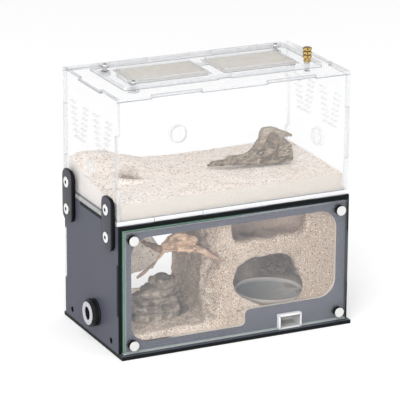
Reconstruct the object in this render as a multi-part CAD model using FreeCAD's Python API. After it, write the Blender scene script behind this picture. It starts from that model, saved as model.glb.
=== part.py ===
import FreeCAD, Part
import math
import os
from FreeCAD import Vector

os.makedirs("parts", exist_ok=True)

# Ant habitat: a dark nest box with a glass front, and a clear foraging tank on top of it.
# Millimetres. X runs along the glass front, Y from front to back, Z up.
# The origin is the middle of the base plate's underside.

# Sheets and boxes
sheet = 3.0
base_thickness = 3.0
base_lip_front = 7.0
base_lip_back = 3.0
case_width = 200.0
nest_depth = 105.0
nest_height = 103.5
tank_height = 100.5
tank_setback = 2.0
tank_overhang = 1.5

# Finger joints of both boxes
finger_length = 42.0
finger_pitch = 98.0

# Window in the nest's front panel: wide at the top, with a step up over the water port
window_side_margin = 11.0
window_top_margin = 11.0
window_bottom_margin = 7.1
window_radius = 15.0
step_height = 13.0
step_from_left = 109.0
step_radius = 4.0

# Glass pane and its four knobs
glass_thickness = 3.0
glass_top_inset = 3.0
glass_seat_gap = 0.2
glass_foot_gap = 0.3
knob_inset = 7.4
knob_radius = 4.4
knob_neck_radius = 3.6
knob_neck_gap = 0.3
barrel_length = 3.3
cap_thickness = 0.9
cap_chamfer = 0.25
screw_radius = 1.5
screw_hole_radius = 1.8
insert_radius = 3.3
insert_length = 3.0
screw_tip_gap = 0.4

# Water port at the glass's lower edge
port_from_left = 137.3
port_width = 20.2
port_height = 12.0
port_wall = 1.7
port_proud = 0.6
port_reach = 13.0
port_corner = 1.2
port_fit_gap = 0.4

# Tube port and watering holes in the nest's left wall
tube_port_from_front = 44.2
tube_port_height = 20.5
tube_bore_radius = 5.25
tube_flange_radius = 11.0
tube_flange_length = 2.0
tube_groove_radius = 9.2
tube_groove_length = 1.4
tube_disc_radius = 11.3
tube_disc_length = 2.3
tube_boss_length = 0.9
tube_ring_radius = 9.25
tube_ring_length = 0.9
tube_ring_clearance = 0.15
tube_neck_radius = 8.0
tube_neck_gap = 0.1
tube_neck_length = 6.6
tube_nut_radius = 11.0
tube_nut_length = 3.0
water_hole_radius = 2.4
water_hole_height = 6.9
water_hole_front = 14.1
water_hole_back = 91.4

# Link brackets on the left side, across the joint between the boxes
bracket_width = 20.0
bracket_height = 42.6
bracket_thickness = 3.0
bracket_corner = 7.0
bracket_drop = 0.7
bracket_front_centre = 15.1
bracket_back_inset = 12.3
bracket_screw_offset = 11.1
bracket_hole_radius = 1.65
head_radius = 4.4
head_height = 1.3
socket_width = 2.5
socket_depth = 0.8
nut_width = 5.5
nut_thickness = 2.4
nut_bore_radius = 1.55
nut_tip = 0.6
nut_pocket_gap = 0.6

# Tank openings: vent slots, round ports and the lid opening
vent_rows = 7
vent_pitch = 4.5
vent_top = 77.0
vent_length = 9.0
vent_height = 1.3
vent_group_offset = 22.0
vent_spread_top = 12.5
vent_spread_bottom = 5.6
round_port_radius = 7.0
round_port_height = 33.5
plug_fit_gap = 0.25
plug_flange_radius = 8.4
plug_flange_thickness = 1.4
plug_body_length = 3.6
plug_seat_gap = 0.15

# Lid: two clear frames with steel mesh between them
lid_width = 170.0
lid_depth = 68.0
lid_frame_thickness = 2.0
lid_seat_gap = 0.15
lid_corner = 2.0
mesh_width = 62.0
mesh_depth = 37.0
mesh_bar = 14.0
mesh_thickness = 0.4
mesh_margin = 2.5
mesh_gap = 0.05
opening_width = 138.0
opening_depth = 40.0
opening_corner = 3.0
thumb_notch_width = 11.0
thumb_notch_depth = 2.2
bolt_offset_x = 74.6
bolt_offset_y = 27.3
lid_head_radius = 4.3
lid_head_height = 1.5
lid_nut_hole_gap = 1.4
stud_hole_radius = 2.1

# Brass thumb nut on its stud
thumb_radius = 3.6
thumb_waist_radius = 2.4
thumb_beads = 2
thumb_bead_height = 3.8
thumb_waist_height = 0.8
thumb_collar_radius = 2.9
thumb_collar_height = 2.4
thumb_bore_gap = 0.3
thumb_seat_gap = 0.2
thumb_roof = 1.2
stud_end_gap = 0.5

# Passage tube between nest and tank
passage_from_left = 36.0
passage_from_front = 60.0
passage_radius = 7.0
passage_bore_radius = 5.5
passage_rim_height = 15.6
passage_drop = 5.2
passage_fit_gap = 0.1

# Cast burrow and its chambers, measured from the nest's left, front and the base plate's top
block_gap = 0.3
block_top_gap = 0.5
cavern_left = 8.0
cavern_right_front = 78.0
cavern_right_back = 92.6
cavern_floor = 13.0
corner_share = 0.293
cavern_roof_cover = 8.5
cavern_floor_radius = 9.0
cavern_roof_radius = 14.0
cavern_shoulder_front = 30.0
cavern_shoulder_back = 12.0
lobe_from_front = 72.5
lobe_edge_depth = 5.0
lobe_edge_share = 0.95
lobe_brow_right = 57.0
lobe_waist_right = 63.0
lobe_waist_height = 64.4
lobe_tip_right = 73.0
lobe_tip_height = 49.4
lobe_chin_right = 60.0
lobe_chin_height = 37.0
lobe_foot_height = 27.0
lobe_overrun = 2.0
chamber_from_left = 132.0
chamber_from_front = 12.0
chamber_height = 38.0
chamber_floor_left = 30.0
chamber_floor_right = 34.0
chamber_roof_left = 34.0
chamber_roof_right = 22.0
chamber_rise = 23.5
chamber_drop = 21.0
chamber_floor_cut = 18.0
chamber_heel_cut = 6.0
chamber_brow_cut = 9.0
chamber_shoulder_cut = 20.0
chamber_depth = 45.0
chamber_steps = 3
chamber_floor = 14.5
dish_radius = 28.6
dish_thickness = 6.5
dish_fit_gap = 0.4
dish_headroom = 3.0
dish_tilt = 9.0
dish_bowl_depth = 3.5
dish_bowl_radius = 25.0
recess_left = 98.8
recess_right = 165.0
recess_roof_cover = 7.5
recess_height = 22.0
recess_depth = 24.0
recess_corner = 5.0
recess_draft = 3.0
tunnel_radius = 5.5
shaft_from_left = 121.0
shaft_from_front = 23.0
gallery_from_front = 18.0
gallery_rise = 10.0
port_tunnel_length = 11.0

# Sand in the tank: it climbs to the right and to the back, with a mound in the back left corner
sand_gap = 0.3
sand_level = 12.4
sand_climb = 1.2
sand_rise = 2.0
mound_height = 14.5
mound_from_left = 20.0
mound_from_front = 100.0
mound_spread_x = 32.0
mound_spread_y = 30.0
sand_columns = 12
sand_rows = 8
sand_overlap = 4.0

# Driftwood on the sand
wood_left = 100.5
wood_length = 71.0
wood_from_front = 47.0
wood_tail_height = 3.6
wood_back_height = 9.0
wood_head_height = 29.5
wood_tail_width = 5.0
wood_head_width = 17.0
wood_sink = 3.0
wood_sides = 8
wood_knots = 0.12

# Layered stones in the cavern
stone_layers = 5
stone_layer_height = 6.3
stone_left = 17.0
stone_right = 80.0
stone_front = 22.0
stone_back = 48.0
stone_taper = 0.93
stone_ledge_layers = 3
stone_left_step = 12.5
stone_right_step = 3.5
stone_stagger = 2.0
stone_sides = 7

# Root out of the cavern's right wall: a trunk that thins to a twig, and a branch back into the lobe
root_tip_radius = 1.2
root_trunk_radius = 6.5
root_end_radius = 3.5
root_left = 24.0
root_length = 60.0
root_from_front = 22.5
root_slant = 8.0
root_peak_height = 76.0
root_left_drop = 24.0
root_right_drop = 13.0
root_sides = 8
branch_from_left = 54.0
branch_radius = 3.2
branch_end_radius = 2.2
branch_lean = 3.0
branch_drop = 8.0
branch_overrun = 4.0

# Places that follow from the values above
base_front = -(base_lip_front + nest_depth + base_lip_back) / 2
base_back = -base_front
nest_left = -case_width / 2
nest_right = case_width / 2
nest_front = base_front + base_lip_front
nest_back = nest_front + nest_depth
nest_floor = base_thickness
nest_top = nest_floor + nest_height
tank_left = nest_left
tank_right = nest_right
tank_front = nest_front + tank_setback
tank_back = nest_back + tank_overhang
tank_bottom = nest_top
tank_top = tank_bottom + tank_height
tank_middle = (tank_front + tank_back) / 2
lid_bottom = tank_top + lid_seat_gap
lid_top = lid_bottom + 2 * lid_frame_thickness
glass_back = nest_front - glass_seat_gap
glass_front = glass_back - glass_thickness
glass_bottom = nest_floor + glass_foot_gap
glass_top = nest_top - glass_top_inset
cavern_roof = nest_top - cavern_roof_cover
recess_roof = nest_top - recess_roof_cover
recess_floor = recess_roof - recess_height

X = Vector(1, 0, 0)
Y = Vector(0, 1, 0)
Z = Vector(0, 0, 1)


def save(name, shape):
    shape.exportStep("parts/" + name + ".step")
    print(name, len(shape.Solids), round(shape.Volume, 1), shape.isValid())


def box(x0, x1, y0, y1, z0, z1):
    return Part.makeBox(x1 - x0, y1 - y0, z1 - z0, Vector(x0, y0, z0))


def rod(radius, start, end):
    return Part.makeCylinder(radius, (end - start).Length, start, end - start)


def solid_of(shape):
    return shape.Solids[0] if len(shape.Solids) == 1 else shape


def rounded_outline(corners, radii):
    """Closed wire in the XZ or XY plane through the corners, each rounded by its own radius."""
    edges = []
    starts = []
    count = len(corners)
    for i in range(count):
        before = (corners[i - 1] - corners[i]).normalize()
        after = (corners[(i + 1) % count] - corners[i]).normalize()
        turn = before.getAngle(after)
        reach = radii[i] / math.tan(turn / 2)
        first = corners[i] + before * reach
        last = corners[i] + after * reach
        bisector = (before + after).normalize()
        centre = corners[i] + bisector * (radii[i] / math.sin(turn / 2))
        middle = centre - bisector * radii[i]
        starts.append((first, middle, last))
    for i in range(count):
        first, middle, last = starts[i]
        following = starts[(i + 1) % count][0]
        edges.append(Part.Arc(first, middle, last).toShape())
        if (following - last).Length > 1e-6:
            edges.append(Part.LineSegment(last, following).toShape())
    return Part.Wire(edges)


def rounded_prism(corners, radii, along):
    return Part.Face(rounded_outline(corners, radii)).extrude(along)


def revolved(profile, start, axis):
    """Solid of revolution: the profile is a list of (distance along the axis, radius)."""
    points = [start + axis * along + side_of(axis) * radius for along, radius in profile]
    face = Part.Face(Part.makePolygon(points + [points[0]]))
    return face.revolve(start, axis, 360)


def side_of(axis):
    return X if abs(axis.x) < abs(axis.z) or abs(axis.y) > abs(axis.x) else Z


def facetted_loft(rings):
    """Solid with flat facets through closed rings of points, which all have the same number of points."""
    facets = []
    for low, high in zip(rings, rings[1:]):
        for k in range(len(low)):
            n = (k + 1) % len(low)
            facets.append((low[k], low[n], high[n]))
            facets.append((low[k], high[n], high[k]))
    facets.append(rings[0])
    facets.append(rings[-1])
    faces = [Part.Face(Part.makePolygon(list(points) + [points[0]])) for points in facets]
    shell = Part.makeShell(faces)
    shell.sewShape()
    body = Part.Solid(shell)
    if body.Volume < 0:
        body.reverse()
    return body


def hexagon(width, start, along):
    """Hexagonal prism of the given width across flats, from start along a vector."""
    axis = Vector(along).normalize()
    across = side_of(axis)
    other = axis.cross(across)
    radius = width / math.sqrt(3)
    points = []
    for k in range(6):
        angle = math.radians(60 * k)
        points.append(start + across * (radius * math.cos(angle)) + other * (radius * math.sin(angle)))
    return Part.Face(Part.makePolygon(points + [points[0]])).extrude(along)


def hex_nut(start, axis):
    body = hexagon(nut_width, start, axis * nut_thickness)
    return body.cut(rod(nut_bore_radius, start - axis, start + axis * (nut_thickness + 1)))


def button_screw(seat, axis, radius, height, length):
    """Flat-headed screw: the head stands from the seat along the axis, the shank goes the other way."""
    head = rod(radius, seat, seat + axis * height)
    socket = hexagon(socket_width, seat + axis * (height - socket_depth), axis * (socket_depth + 1))
    return head.cut(socket).fuse(rod(screw_radius, seat, seat - axis * length)).removeSplitter()


def finger_spans(middle, count):
    first = middle - finger_pitch * (count - 1) / 2
    half = finger_length / 2
    return [(first + i * finger_pitch - half, first + i * finger_pitch + half) for i in range(count)]


def spans_between(low, high, spans):
    marks = [low] + [mark for span in spans for mark in span] + [high]
    return [(marks[i], marks[i + 1]) for i in range(0, len(marks), 2)]


def case_sheets(x0, x1, y0, y1, z0, z1, has_floor):
    """Sheets of a finger-jointed box. The front and back hold the upright edges' fingers."""
    sheets = {
        "left": box(x0, x0 + sheet, y0, y1, z0, z1),
        "right": box(x1 - sheet, x1, y0, y1, z0, z1),
        "front": box(x0, x1, y0, y0 + sheet, z0, z1),
        "back": box(x0, x1, y1 - sheet, y1, z0, z1),
        "top": box(x0, x1, y0, y1, z1 - sheet, z1),
    }
    slabs = {"top": (z1 - sheet, z1)}
    if has_floor:
        sheets["floor"] = box(x0, x1, y0, y1, z0, z0 + sheet)
        slabs["floor"] = (z0, z0 + sheet)
    sides = {"left": (x0, x0 + sheet), "right": (x1 - sheet, x1)}
    faces = {"front": (y0, y0 + sheet), "back": (y1 - sheet, y1)}
    x_fingers = finger_spans((x0 + x1) / 2, 2)
    y_fingers = finger_spans((y0 + y1) / 2, 1)
    z_fingers = finger_spans((z0 + z1) / 2, 1)
    for side, (xa, xb) in sides.items():
        for face, (ya, yb) in faces.items():
            for low, high in z_fingers:
                sheets[side] = sheets[side].cut(box(xa, xb, ya, yb, low, high))
            for low, high in spans_between(z0, z1, z_fingers):
                sheets[face] = sheets[face].cut(box(xa, xb, ya, yb, low, high))
        for slab, (za, zb) in slabs.items():
            for low, high in y_fingers:
                sheets[side] = sheets[side].cut(box(xa, xb, low, high, za, zb))
            for low, high in spans_between(y0, y1, y_fingers):
                sheets[slab] = sheets[slab].cut(box(xa, xb, low, high, za, zb))
    for face, (ya, yb) in faces.items():
        for slab, (za, zb) in slabs.items():
            for low, high in x_fingers:
                sheets[slab] = sheets[slab].cut(box(low, high, ya, yb, za, zb))
            for low, high in spans_between(x0 + sheet, x1 - sheet, x_fingers):
                sheets[face] = sheets[face].cut(box(low, high, ya, yb, za, zb))
    return sheets


# Base plate
save("base_plate", box(nest_left, nest_right, base_front, base_back, 0, base_thickness))

# Places of the knobs, brackets and ports
knob_places = {}
for side, x in (("left", nest_left + sheet + knob_inset), ("right", nest_right - sheet - knob_inset)):
    for row, z in (("bottom", glass_bottom + knob_inset), ("top", glass_top - knob_inset)):
        knob_places[row + "_" + side] = Vector(x, 0, z)
bracket_rows = {"front": nest_front + bracket_front_centre, "back": nest_back - bracket_back_inset}
bracket_middle = nest_top - bracket_drop
screw_heights = (bracket_middle - bracket_screw_offset, bracket_middle + bracket_screw_offset)
tube_port = Vector(nest_left, nest_front + tube_port_from_front, nest_floor + tube_port_height)
port_left = nest_left + port_from_left
port_right = port_left + port_width
port_top = nest_floor + port_height
port_back = nest_front + port_reach
passage = Vector(nest_left + passage_from_left, nest_front + passage_from_front, 0)


def bracket_holes(z):
    holes = []
    for y in bracket_rows.values():
        start = Vector(nest_left - 1, y, z)
        holes.append(rod(bracket_hole_radius, start, start + X * (sheet + 2)))
    return holes


# Nest box
nest = case_sheets(nest_left, nest_right, nest_front, nest_back, nest_floor, nest_top, False)

left_edge = nest_left + window_side_margin
right_edge = nest_right - window_side_margin
low_edge = nest_floor + window_bottom_margin
step_edge = low_edge + step_height
top_edge = nest_top - window_top_margin
step_side = nest_left + step_from_left
window_corners = [
    Vector(left_edge, nest_front, low_edge),
    Vector(step_side, nest_front, low_edge),
    Vector(step_side, nest_front, step_edge),
    Vector(right_edge, nest_front, step_edge),
    Vector(right_edge, nest_front, top_edge),
    Vector(left_edge, nest_front, top_edge),
]
window_radii = [window_radius, step_radius, step_radius, window_radius, window_radius, window_radius]
nest["front"] = nest["front"].cut(rounded_prism(window_corners, window_radii, Y * sheet))
port_notch = box(port_left, port_right, nest_front, nest_front + sheet, nest_floor, port_top)
nest["front"] = nest["front"].cut(port_notch)
for place in knob_places.values():
    start = Vector(place.x, nest_front - 1, place.z)
    nest["front"] = nest["front"].cut(rod(screw_hole_radius, start, start + Y * (sheet + 2)))

nest["left"] = nest["left"].cut(bracket_holes(screw_heights[0]))
neck_hole_radius = tube_neck_radius + tube_neck_gap
nest["left"] = nest["left"].cut(rod(neck_hole_radius, tube_port - X, tube_port + X * (sheet + 1)))
for from_front in (water_hole_front, water_hole_back):
    start = Vector(nest_left - 1, nest_front + from_front, nest_floor + water_hole_height)
    nest["left"] = nest["left"].cut(rod(water_hole_radius, start, start + X * (sheet + 2)))
passage_hole = passage_radius + passage_fit_gap
panels_low = passage + Z * (nest_top - sheet - 1)
through_passage = rod(passage_hole, panels_low, panels_low + Z * (2 * sheet + 2))
nest["top"] = nest["top"].cut(through_passage)

save("nest_left_wall", nest["left"])
save("nest_right_wall", nest["right"])
save("nest_front_panel", nest["front"])
save("nest_back_wall", nest["back"])
save("nest_top_panel", nest["top"])

# Glass pane
glass = box(nest_left + sheet, nest_right - sheet, glass_front, glass_back, glass_bottom, glass_top)
glass_notch = [
    Vector(port_left - port_fit_gap, glass_front, glass_bottom - port_height),
    Vector(port_right + port_fit_gap, glass_front, glass_bottom - port_height),
    Vector(port_right + port_fit_gap, glass_front, port_top + port_fit_gap),
    Vector(port_left - port_fit_gap, glass_front, port_top + port_fit_gap),
]
glass = glass.cut(rounded_prism(glass_notch, [port_corner] * 4, Y * glass_thickness))
for place in knob_places.values():
    start = Vector(place.x, glass_front - 1, place.z)
    glass = glass.cut(rod(knob_neck_radius + knob_neck_gap, start, start + Y * (glass_thickness + 2)))
save("front_glass", solid_of(glass))

# Knobs: a black barrel with a neck through the glass, a flat-headed screw, and its insert behind the panel
for name, place in knob_places.items():
    seat = Vector(place.x, glass_front - glass_seat_gap, place.z)
    face = seat - Y * barrel_length
    neck_end = Vector(place.x, glass_back, place.z)
    barrel = rod(knob_radius, face, seat).fuse(rod(knob_neck_radius, seat, neck_end)).removeSplitter()
    barrel = barrel.cut(rod(nut_bore_radius, face - Y, neck_end + Y))
    save("knob_barrel_" + name, solid_of(barrel))
    cap = rod(knob_radius, face - Y * cap_thickness, face)
    rims = [edge for edge in cap.Edges if edge.BoundBox.YMax < face.y - cap_thickness / 2]
    cap = cap.makeChamfer(cap_chamfer, rims[:1])
    tip = Vector(place.x, nest_front + sheet + insert_length - screw_tip_gap, place.z)
    save("knob_screw_" + name, cap.fuse(rod(screw_radius, face, tip)).removeSplitter())
inserts = []
for place in knob_places.values():
    start = Vector(place.x, nest_front + sheet, place.z)
    body = rod(insert_radius, start, start + Y * insert_length)
    inserts.append(body.cut(rod(screw_hole_radius, start - Y, start + Y * (insert_length + 1))))
save("knob_inserts", Part.makeCompound(inserts))

# Water port: a white sleeve, open at the front, closed at the back
port_front = glass_front - port_proud
port_body = box(port_left, port_right, port_front, port_back, nest_floor, port_top)
long_edges = [edge for edge in port_body.Edges if edge.Length > port_reach]
port_body = port_body.makeChamfer(port_corner / 4, long_edges)
mouth = [
    Vector(port_left + port_wall, port_front, nest_floor + port_wall),
    Vector(port_right - port_wall, port_front, nest_floor + port_wall),
    Vector(port_right - port_wall, port_front, port_top - port_wall),
    Vector(port_left + port_wall, port_front, port_top - port_wall),
]
mouth_length = port_back - port_front - port_wall
save("water_port", solid_of(port_body.cut(rounded_prism(mouth, [port_corner] * 4, Y * mouth_length))))

# Tube port through the left wall: grommet, ring and inner nut
outward = X * -1
flange_end = tube_flange_length
groove_end = flange_end + tube_groove_length
disc_end = groove_end + tube_disc_length
boss_end = disc_end + tube_boss_length
grommet_profile = [
    (-tube_neck_length, tube_bore_radius),
    (-tube_neck_length, tube_neck_radius),
    (0, tube_neck_radius),
    (0, tube_flange_radius),
    (flange_end, tube_flange_radius),
    (flange_end, tube_groove_radius),
    (groove_end, tube_groove_radius),
    (groove_end, tube_disc_radius),
    (disc_end, tube_disc_radius),
    (disc_end, tube_ring_radius),
    (boss_end, tube_ring_radius),
    (boss_end, tube_bore_radius),
]
save("tube_port_body", revolved(grommet_profile, tube_port, outward))
ring_bore = tube_bore_radius + tube_ring_clearance
ring_end = boss_end + tube_ring_length
ring_profile = [
    (boss_end, ring_bore),
    (boss_end, tube_ring_radius),
    (ring_end, tube_ring_radius),
    (ring_end, ring_bore),
]
save("tube_port_ring", revolved(ring_profile, tube_port, outward))
nut_start = tube_port + X * sheet
tube_nut_width = 2 * tube_nut_radius * math.cos(math.radians(30))
tube_nut = hexagon(tube_nut_width, nut_start, X * tube_nut_length)
tube_nut = tube_nut.cut(rod(neck_hole_radius, nut_start - X, nut_start + X * (tube_nut_length + 1)))
save("tube_port_nut", tube_nut)

# Tank
tank = case_sheets(tank_left, tank_right, tank_front, tank_back, tank_bottom, tank_top, True)
tank["left"] = tank["left"].cut(bracket_holes(screw_heights[1]))


def vent_slot(x, y, z):
    half = vent_length / 2
    return box(x, x + sheet, y - half, y + half, z - vent_height / 2, z + vent_height / 2)


def vent_slots(x):
    slots = []
    for row in range(vent_rows):
        spread = vent_spread_top + (vent_spread_bottom - vent_spread_top) * row / (vent_rows - 1)
        z = tank_bottom + vent_top - row * vent_pitch
        for group in (-vent_group_offset, vent_group_offset):
            for side in (-spread, spread):
                slots.append(vent_slot(x, tank_middle + group + side, z))
    return slots


tank["left"] = tank["left"].cut(vent_slots(tank_left))
tank["right"] = tank["right"].cut(vent_slots(tank_right - sheet))

port_z = tank_bottom + round_port_height
round_ports = {
    "left": (Vector(tank_left, tank_middle, port_z), X * -1),
    "right": (Vector(tank_right, tank_middle, port_z), X),
    "back": (Vector(0, tank_back, port_z), Y),
}
for name, (place, away) in round_ports.items():
    tank[name] = tank[name].cut(rod(round_port_radius, place + away, place - away * (sheet + 1)))
    plug_radius = round_port_radius - plug_fit_gap
    profile = [
        (plug_seat_gap - plug_body_length, 0),
        (plug_seat_gap - plug_body_length, plug_radius),
        (plug_seat_gap, plug_radius),
        (plug_seat_gap, plug_flange_radius),
        (plug_seat_gap + plug_flange_thickness, plug_flange_radius),
        (plug_seat_gap + plug_flange_thickness, 0),
    ]
    save("port_plug_" + name, revolved(profile, place, away))

tank["floor"] = tank["floor"].cut(through_passage)


def rectangle(x0, x1, y0, y1, z):
    return [Vector(x0, y0, z), Vector(x1, y0, z), Vector(x1, y1, z), Vector(x0, y1, z)]


half_width = opening_width / 2
y0, y1 = tank_middle - opening_depth / 2, tank_middle + opening_depth / 2
lid_opening = rectangle(-half_width, half_width, y0, y1, tank_top - sheet)
tank["top"] = tank["top"].cut(rounded_prism(lid_opening, [opening_corner] * 4, Z * sheet))
bolt_places = {
    "front_left": Vector(-bolt_offset_x, tank_middle - bolt_offset_y, 0),
    "back_left": Vector(-bolt_offset_x, tank_middle + bolt_offset_y, 0),
    "back_right": Vector(bolt_offset_x, tank_middle + bolt_offset_y, 0),
}
stud_place = Vector(bolt_offset_x, tank_middle - bolt_offset_y, 0)
nut_hole = nut_width / math.sqrt(3) + lid_nut_hole_gap
for place in bolt_places.values():
    start = place + Z * (tank_top - sheet - 1)
    tank["top"] = tank["top"].cut(rod(nut_hole, start, start + Z * (sheet + 2)))
start = stud_place + Z * (tank_top - sheet - 1)
tank["top"] = tank["top"].cut(rod(bracket_hole_radius, start, start + Z * (sheet + 2)))

save("tank_left_wall", tank["left"])
save("tank_right_wall", tank["right"])
save("tank_front_wall", tank["front"])
save("tank_back_wall", tank["back"])
save("tank_top_panel", tank["top"])
save("tank_floor", tank["floor"])

# Lid frames, mesh, bolts and nuts
lid_left = -lid_width / 2
lid_front = tank_middle - lid_depth / 2
lid_back = tank_middle + lid_depth / 2
split = lid_bottom + lid_frame_thickness
mesh_centres = {"left": -(mesh_width + mesh_bar) / 2, "right": (mesh_width + mesh_bar) / 2}


def lid_frame(z):
    outline = rectangle(lid_left, -lid_left, lid_front, lid_back, z)
    frame = rounded_prism(outline, [lid_corner] * 4, Z * lid_frame_thickness)
    for centre in mesh_centres.values():
        x0, x1 = centre - mesh_width / 2, centre + mesh_width / 2
        window = box(x0, x1, tank_middle - mesh_depth / 2, tank_middle + mesh_depth / 2, z - 1, z + sheet)
        frame = frame.cut(window)
    half = thumb_notch_width / 2
    notch = rectangle(-half, half, lid_front - thumb_notch_depth, lid_front + thumb_notch_depth, z)
    frame = frame.cut(rounded_prism(notch, [lid_corner / 2] * 4, Z * lid_frame_thickness))
    for place in bolt_places.values():
        frame = frame.cut(rod(bracket_hole_radius, place + Z * (z - 1), place + Z * (z + sheet)))
    return frame.cut(rod(stud_hole_radius, stud_place + Z * (z - 1), stud_place + Z * (z + sheet)))


def mesh_sheet(centre, gap, height):
    x0, x1 = centre - mesh_width / 2 - mesh_margin + gap, centre + mesh_width / 2 + mesh_margin - gap
    reach = mesh_depth / 2 + mesh_margin - gap
    low = split - mesh_thickness
    return box(x0, x1, tank_middle - reach, tank_middle + reach, low, low + height)


lower_frame = lid_frame(lid_bottom)
for name, centre in mesh_centres.items():
    lower_frame = lower_frame.cut(mesh_sheet(centre, 0, mesh_thickness))
    save("lid_mesh_" + name, mesh_sheet(centre, mesh_gap, mesh_thickness))
save("lid_lower_frame", lower_frame)
save("lid_upper_frame", lid_frame(split))
bolt_length = 2 * lid_frame_thickness + nut_thickness + nut_tip
bolts = []
for place in bolt_places.values():
    bolts.append(button_screw(place + Z * lid_top, Z, lid_head_radius, lid_head_height, bolt_length))
save("lid_bolts", Part.makeCompound(bolts))
lid_nuts = [hex_nut(place + Z * lid_bottom, Z * -1) for place in bolt_places.values()]
save("lid_nuts", Part.makeCompound(lid_nuts))

# Brass thumb nut on a stud through the tank's top panel
thumb_bottom = lid_top + thumb_seat_gap
bore = screw_radius + thumb_bore_gap
thumb_profile = [(0, bore), (0, thumb_collar_radius), (thumb_collar_height, thumb_collar_radius)]
level = thumb_collar_height
for bead in range(thumb_beads):
    thumb_profile.append((level, thumb_waist_radius))
    level += thumb_waist_height
    thumb_profile.append((level, thumb_waist_radius))
    thumb_profile.append((level, thumb_radius))
    level += thumb_bead_height
    thumb_profile.append((level, thumb_radius))
thumb_height = level
thumb_profile.append((thumb_height, 0))
thumb_profile.append((thumb_height - thumb_roof, 0))
thumb_profile.append((thumb_height - thumb_roof, bore))
save("thumb_nut", revolved(thumb_profile, stud_place + Z * thumb_bottom, Z))
stud_low = tank_top - sheet - nut_thickness - nut_tip
stud_high = thumb_bottom + thumb_height - thumb_roof - stud_end_gap
save("thumb_stud", rod(screw_radius, stud_place + Z * stud_low, stud_place + Z * stud_high))
save("stud_nut", hex_nut(stud_place + Z * (tank_top - sheet), Z * -1))

# Link brackets with their screws and nuts
half_height = bracket_height / 2
half = bracket_width / 2
screws = []
nuts = []
for row, y in bracket_rows.items():
    corners = [
        Vector(nest_left, y - half, bracket_middle - half_height),
        Vector(nest_left, y + half, bracket_middle - half_height),
        Vector(nest_left, y + half, bracket_middle + half_height),
        Vector(nest_left, y - half, bracket_middle + half_height),
    ]
    plate = rounded_prism(corners, [bracket_corner] * 4, outward * bracket_thickness)
    for z in screw_heights:
        seat = Vector(nest_left - bracket_thickness, y, z)
        plate = plate.cut(rod(bracket_hole_radius, seat - X, seat + X * (bracket_thickness + 1)))
        length = bracket_thickness + sheet + nut_thickness + nut_tip
        screws.append(button_screw(seat, outward, head_radius, head_height, length))
        nuts.append(hex_nut(Vector(nest_left + sheet, y, z), X))
    save("bracket_" + row + "_left", plate)
save("bracket_screws", Part.makeCompound(screws))
save("bracket_nuts", Part.makeCompound(nuts))

# Passage tube
passage_top = tank_bottom + passage_rim_height
passage_low = passage + Z * (nest_top - sheet - passage_drop)
tube = rod(passage_radius, passage_low, passage + Z * passage_top)
tube_bore = rod(passage_bore_radius, passage_low - Z, passage + Z * (passage_top + 1))
save("passage_tube", tube.cut(tube_bore))


def nut_pockets(z):
    """Clear boxes round the nuts inside the left wall, from the wall's inner face."""
    reach = nut_thickness + nut_tip + nut_pocket_gap
    half = nut_width / math.sqrt(3) + nut_pocket_gap
    inner = nest_left + sheet
    pockets = []
    for y in bracket_rows.values():
        pockets.append(box(inner, inner + reach, y - half, y + half, z - half, z + half))
    return pockets


# Cast burrow: one block with its chambers cut out, in sections that meet face to face
block_left = nest_left + sheet + block_gap
block_right = nest_right - sheet - block_gap
block_front = nest_front + sheet + block_gap
block_back = nest_back - sheet - block_gap
block_top = nest_top - sheet - block_top_gap


def cut_corner_outline(corners, cuts):
    """Closed polygon through the corners, each cut off in two short facets by its own radius."""
    points = []
    count = len(corners)
    for i in range(count):
        before = (corners[i - 1] - corners[i]).normalize()
        after = (corners[(i + 1) % count] - corners[i]).normalize()
        inner = (before + after) * (cuts[i] * corner_share)
        points += [corners[i] + before * cuts[i], corners[i] + inner, corners[i] + after * cuts[i]]
    return points


def cavern_outline(y, right, shoulder):
    low = nest_floor + cavern_floor
    corners = [
        Vector(nest_left + cavern_left, y, low),
        Vector(nest_left + right, y, low),
        Vector(nest_left + right, y, cavern_roof),
        Vector(nest_left + cavern_left, y, cavern_roof),
    ]
    cuts = [cavern_floor_radius, cavern_floor_radius, cavern_roof_radius, shoulder]
    return cut_corner_outline(corners, cuts)


cavern_mouth = block_front - 1
cavern_rear = block_back + 1
cavern = facetted_loft([
    cavern_outline(cavern_mouth, cavern_right_front, cavern_shoulder_front),
    cavern_outline(cavern_rear, cavern_right_back, cavern_shoulder_back),
])

def lobe_outline(y, size):
    """Outline of the cement lobe that hangs from the cavern's roof and left side."""
    corner = Vector(nest_left + cavern_left - lobe_overrun, y, cavern_roof + lobe_overrun)
    points = [
        corner,
        Vector(corner.x, y, nest_floor + lobe_foot_height),
        Vector(nest_left + lobe_chin_right, y, nest_floor + lobe_chin_height),
        Vector(nest_left + lobe_tip_right, y, nest_floor + lobe_tip_height),
        Vector(nest_left + lobe_waist_right, y, nest_floor + lobe_waist_height),
        Vector(nest_left + lobe_brow_right, y, corner.z),
    ]
    return [corner + (point - corner) * size for point in points]


lobe_front = nest_front + lobe_from_front
lobe = facetted_loft([
    lobe_outline(lobe_front, lobe_edge_share),
    lobe_outline(lobe_front + lobe_edge_depth, 1.0),
    lobe_outline(block_back, 1.0),
])
lobe = lobe.common(cavern)
save("cast_lobe", solid_of(lobe))

chamber_centre = Vector(nest_left + chamber_from_left, nest_front + chamber_from_front, 0)
chamber_centre.z = nest_floor + chamber_height


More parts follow.
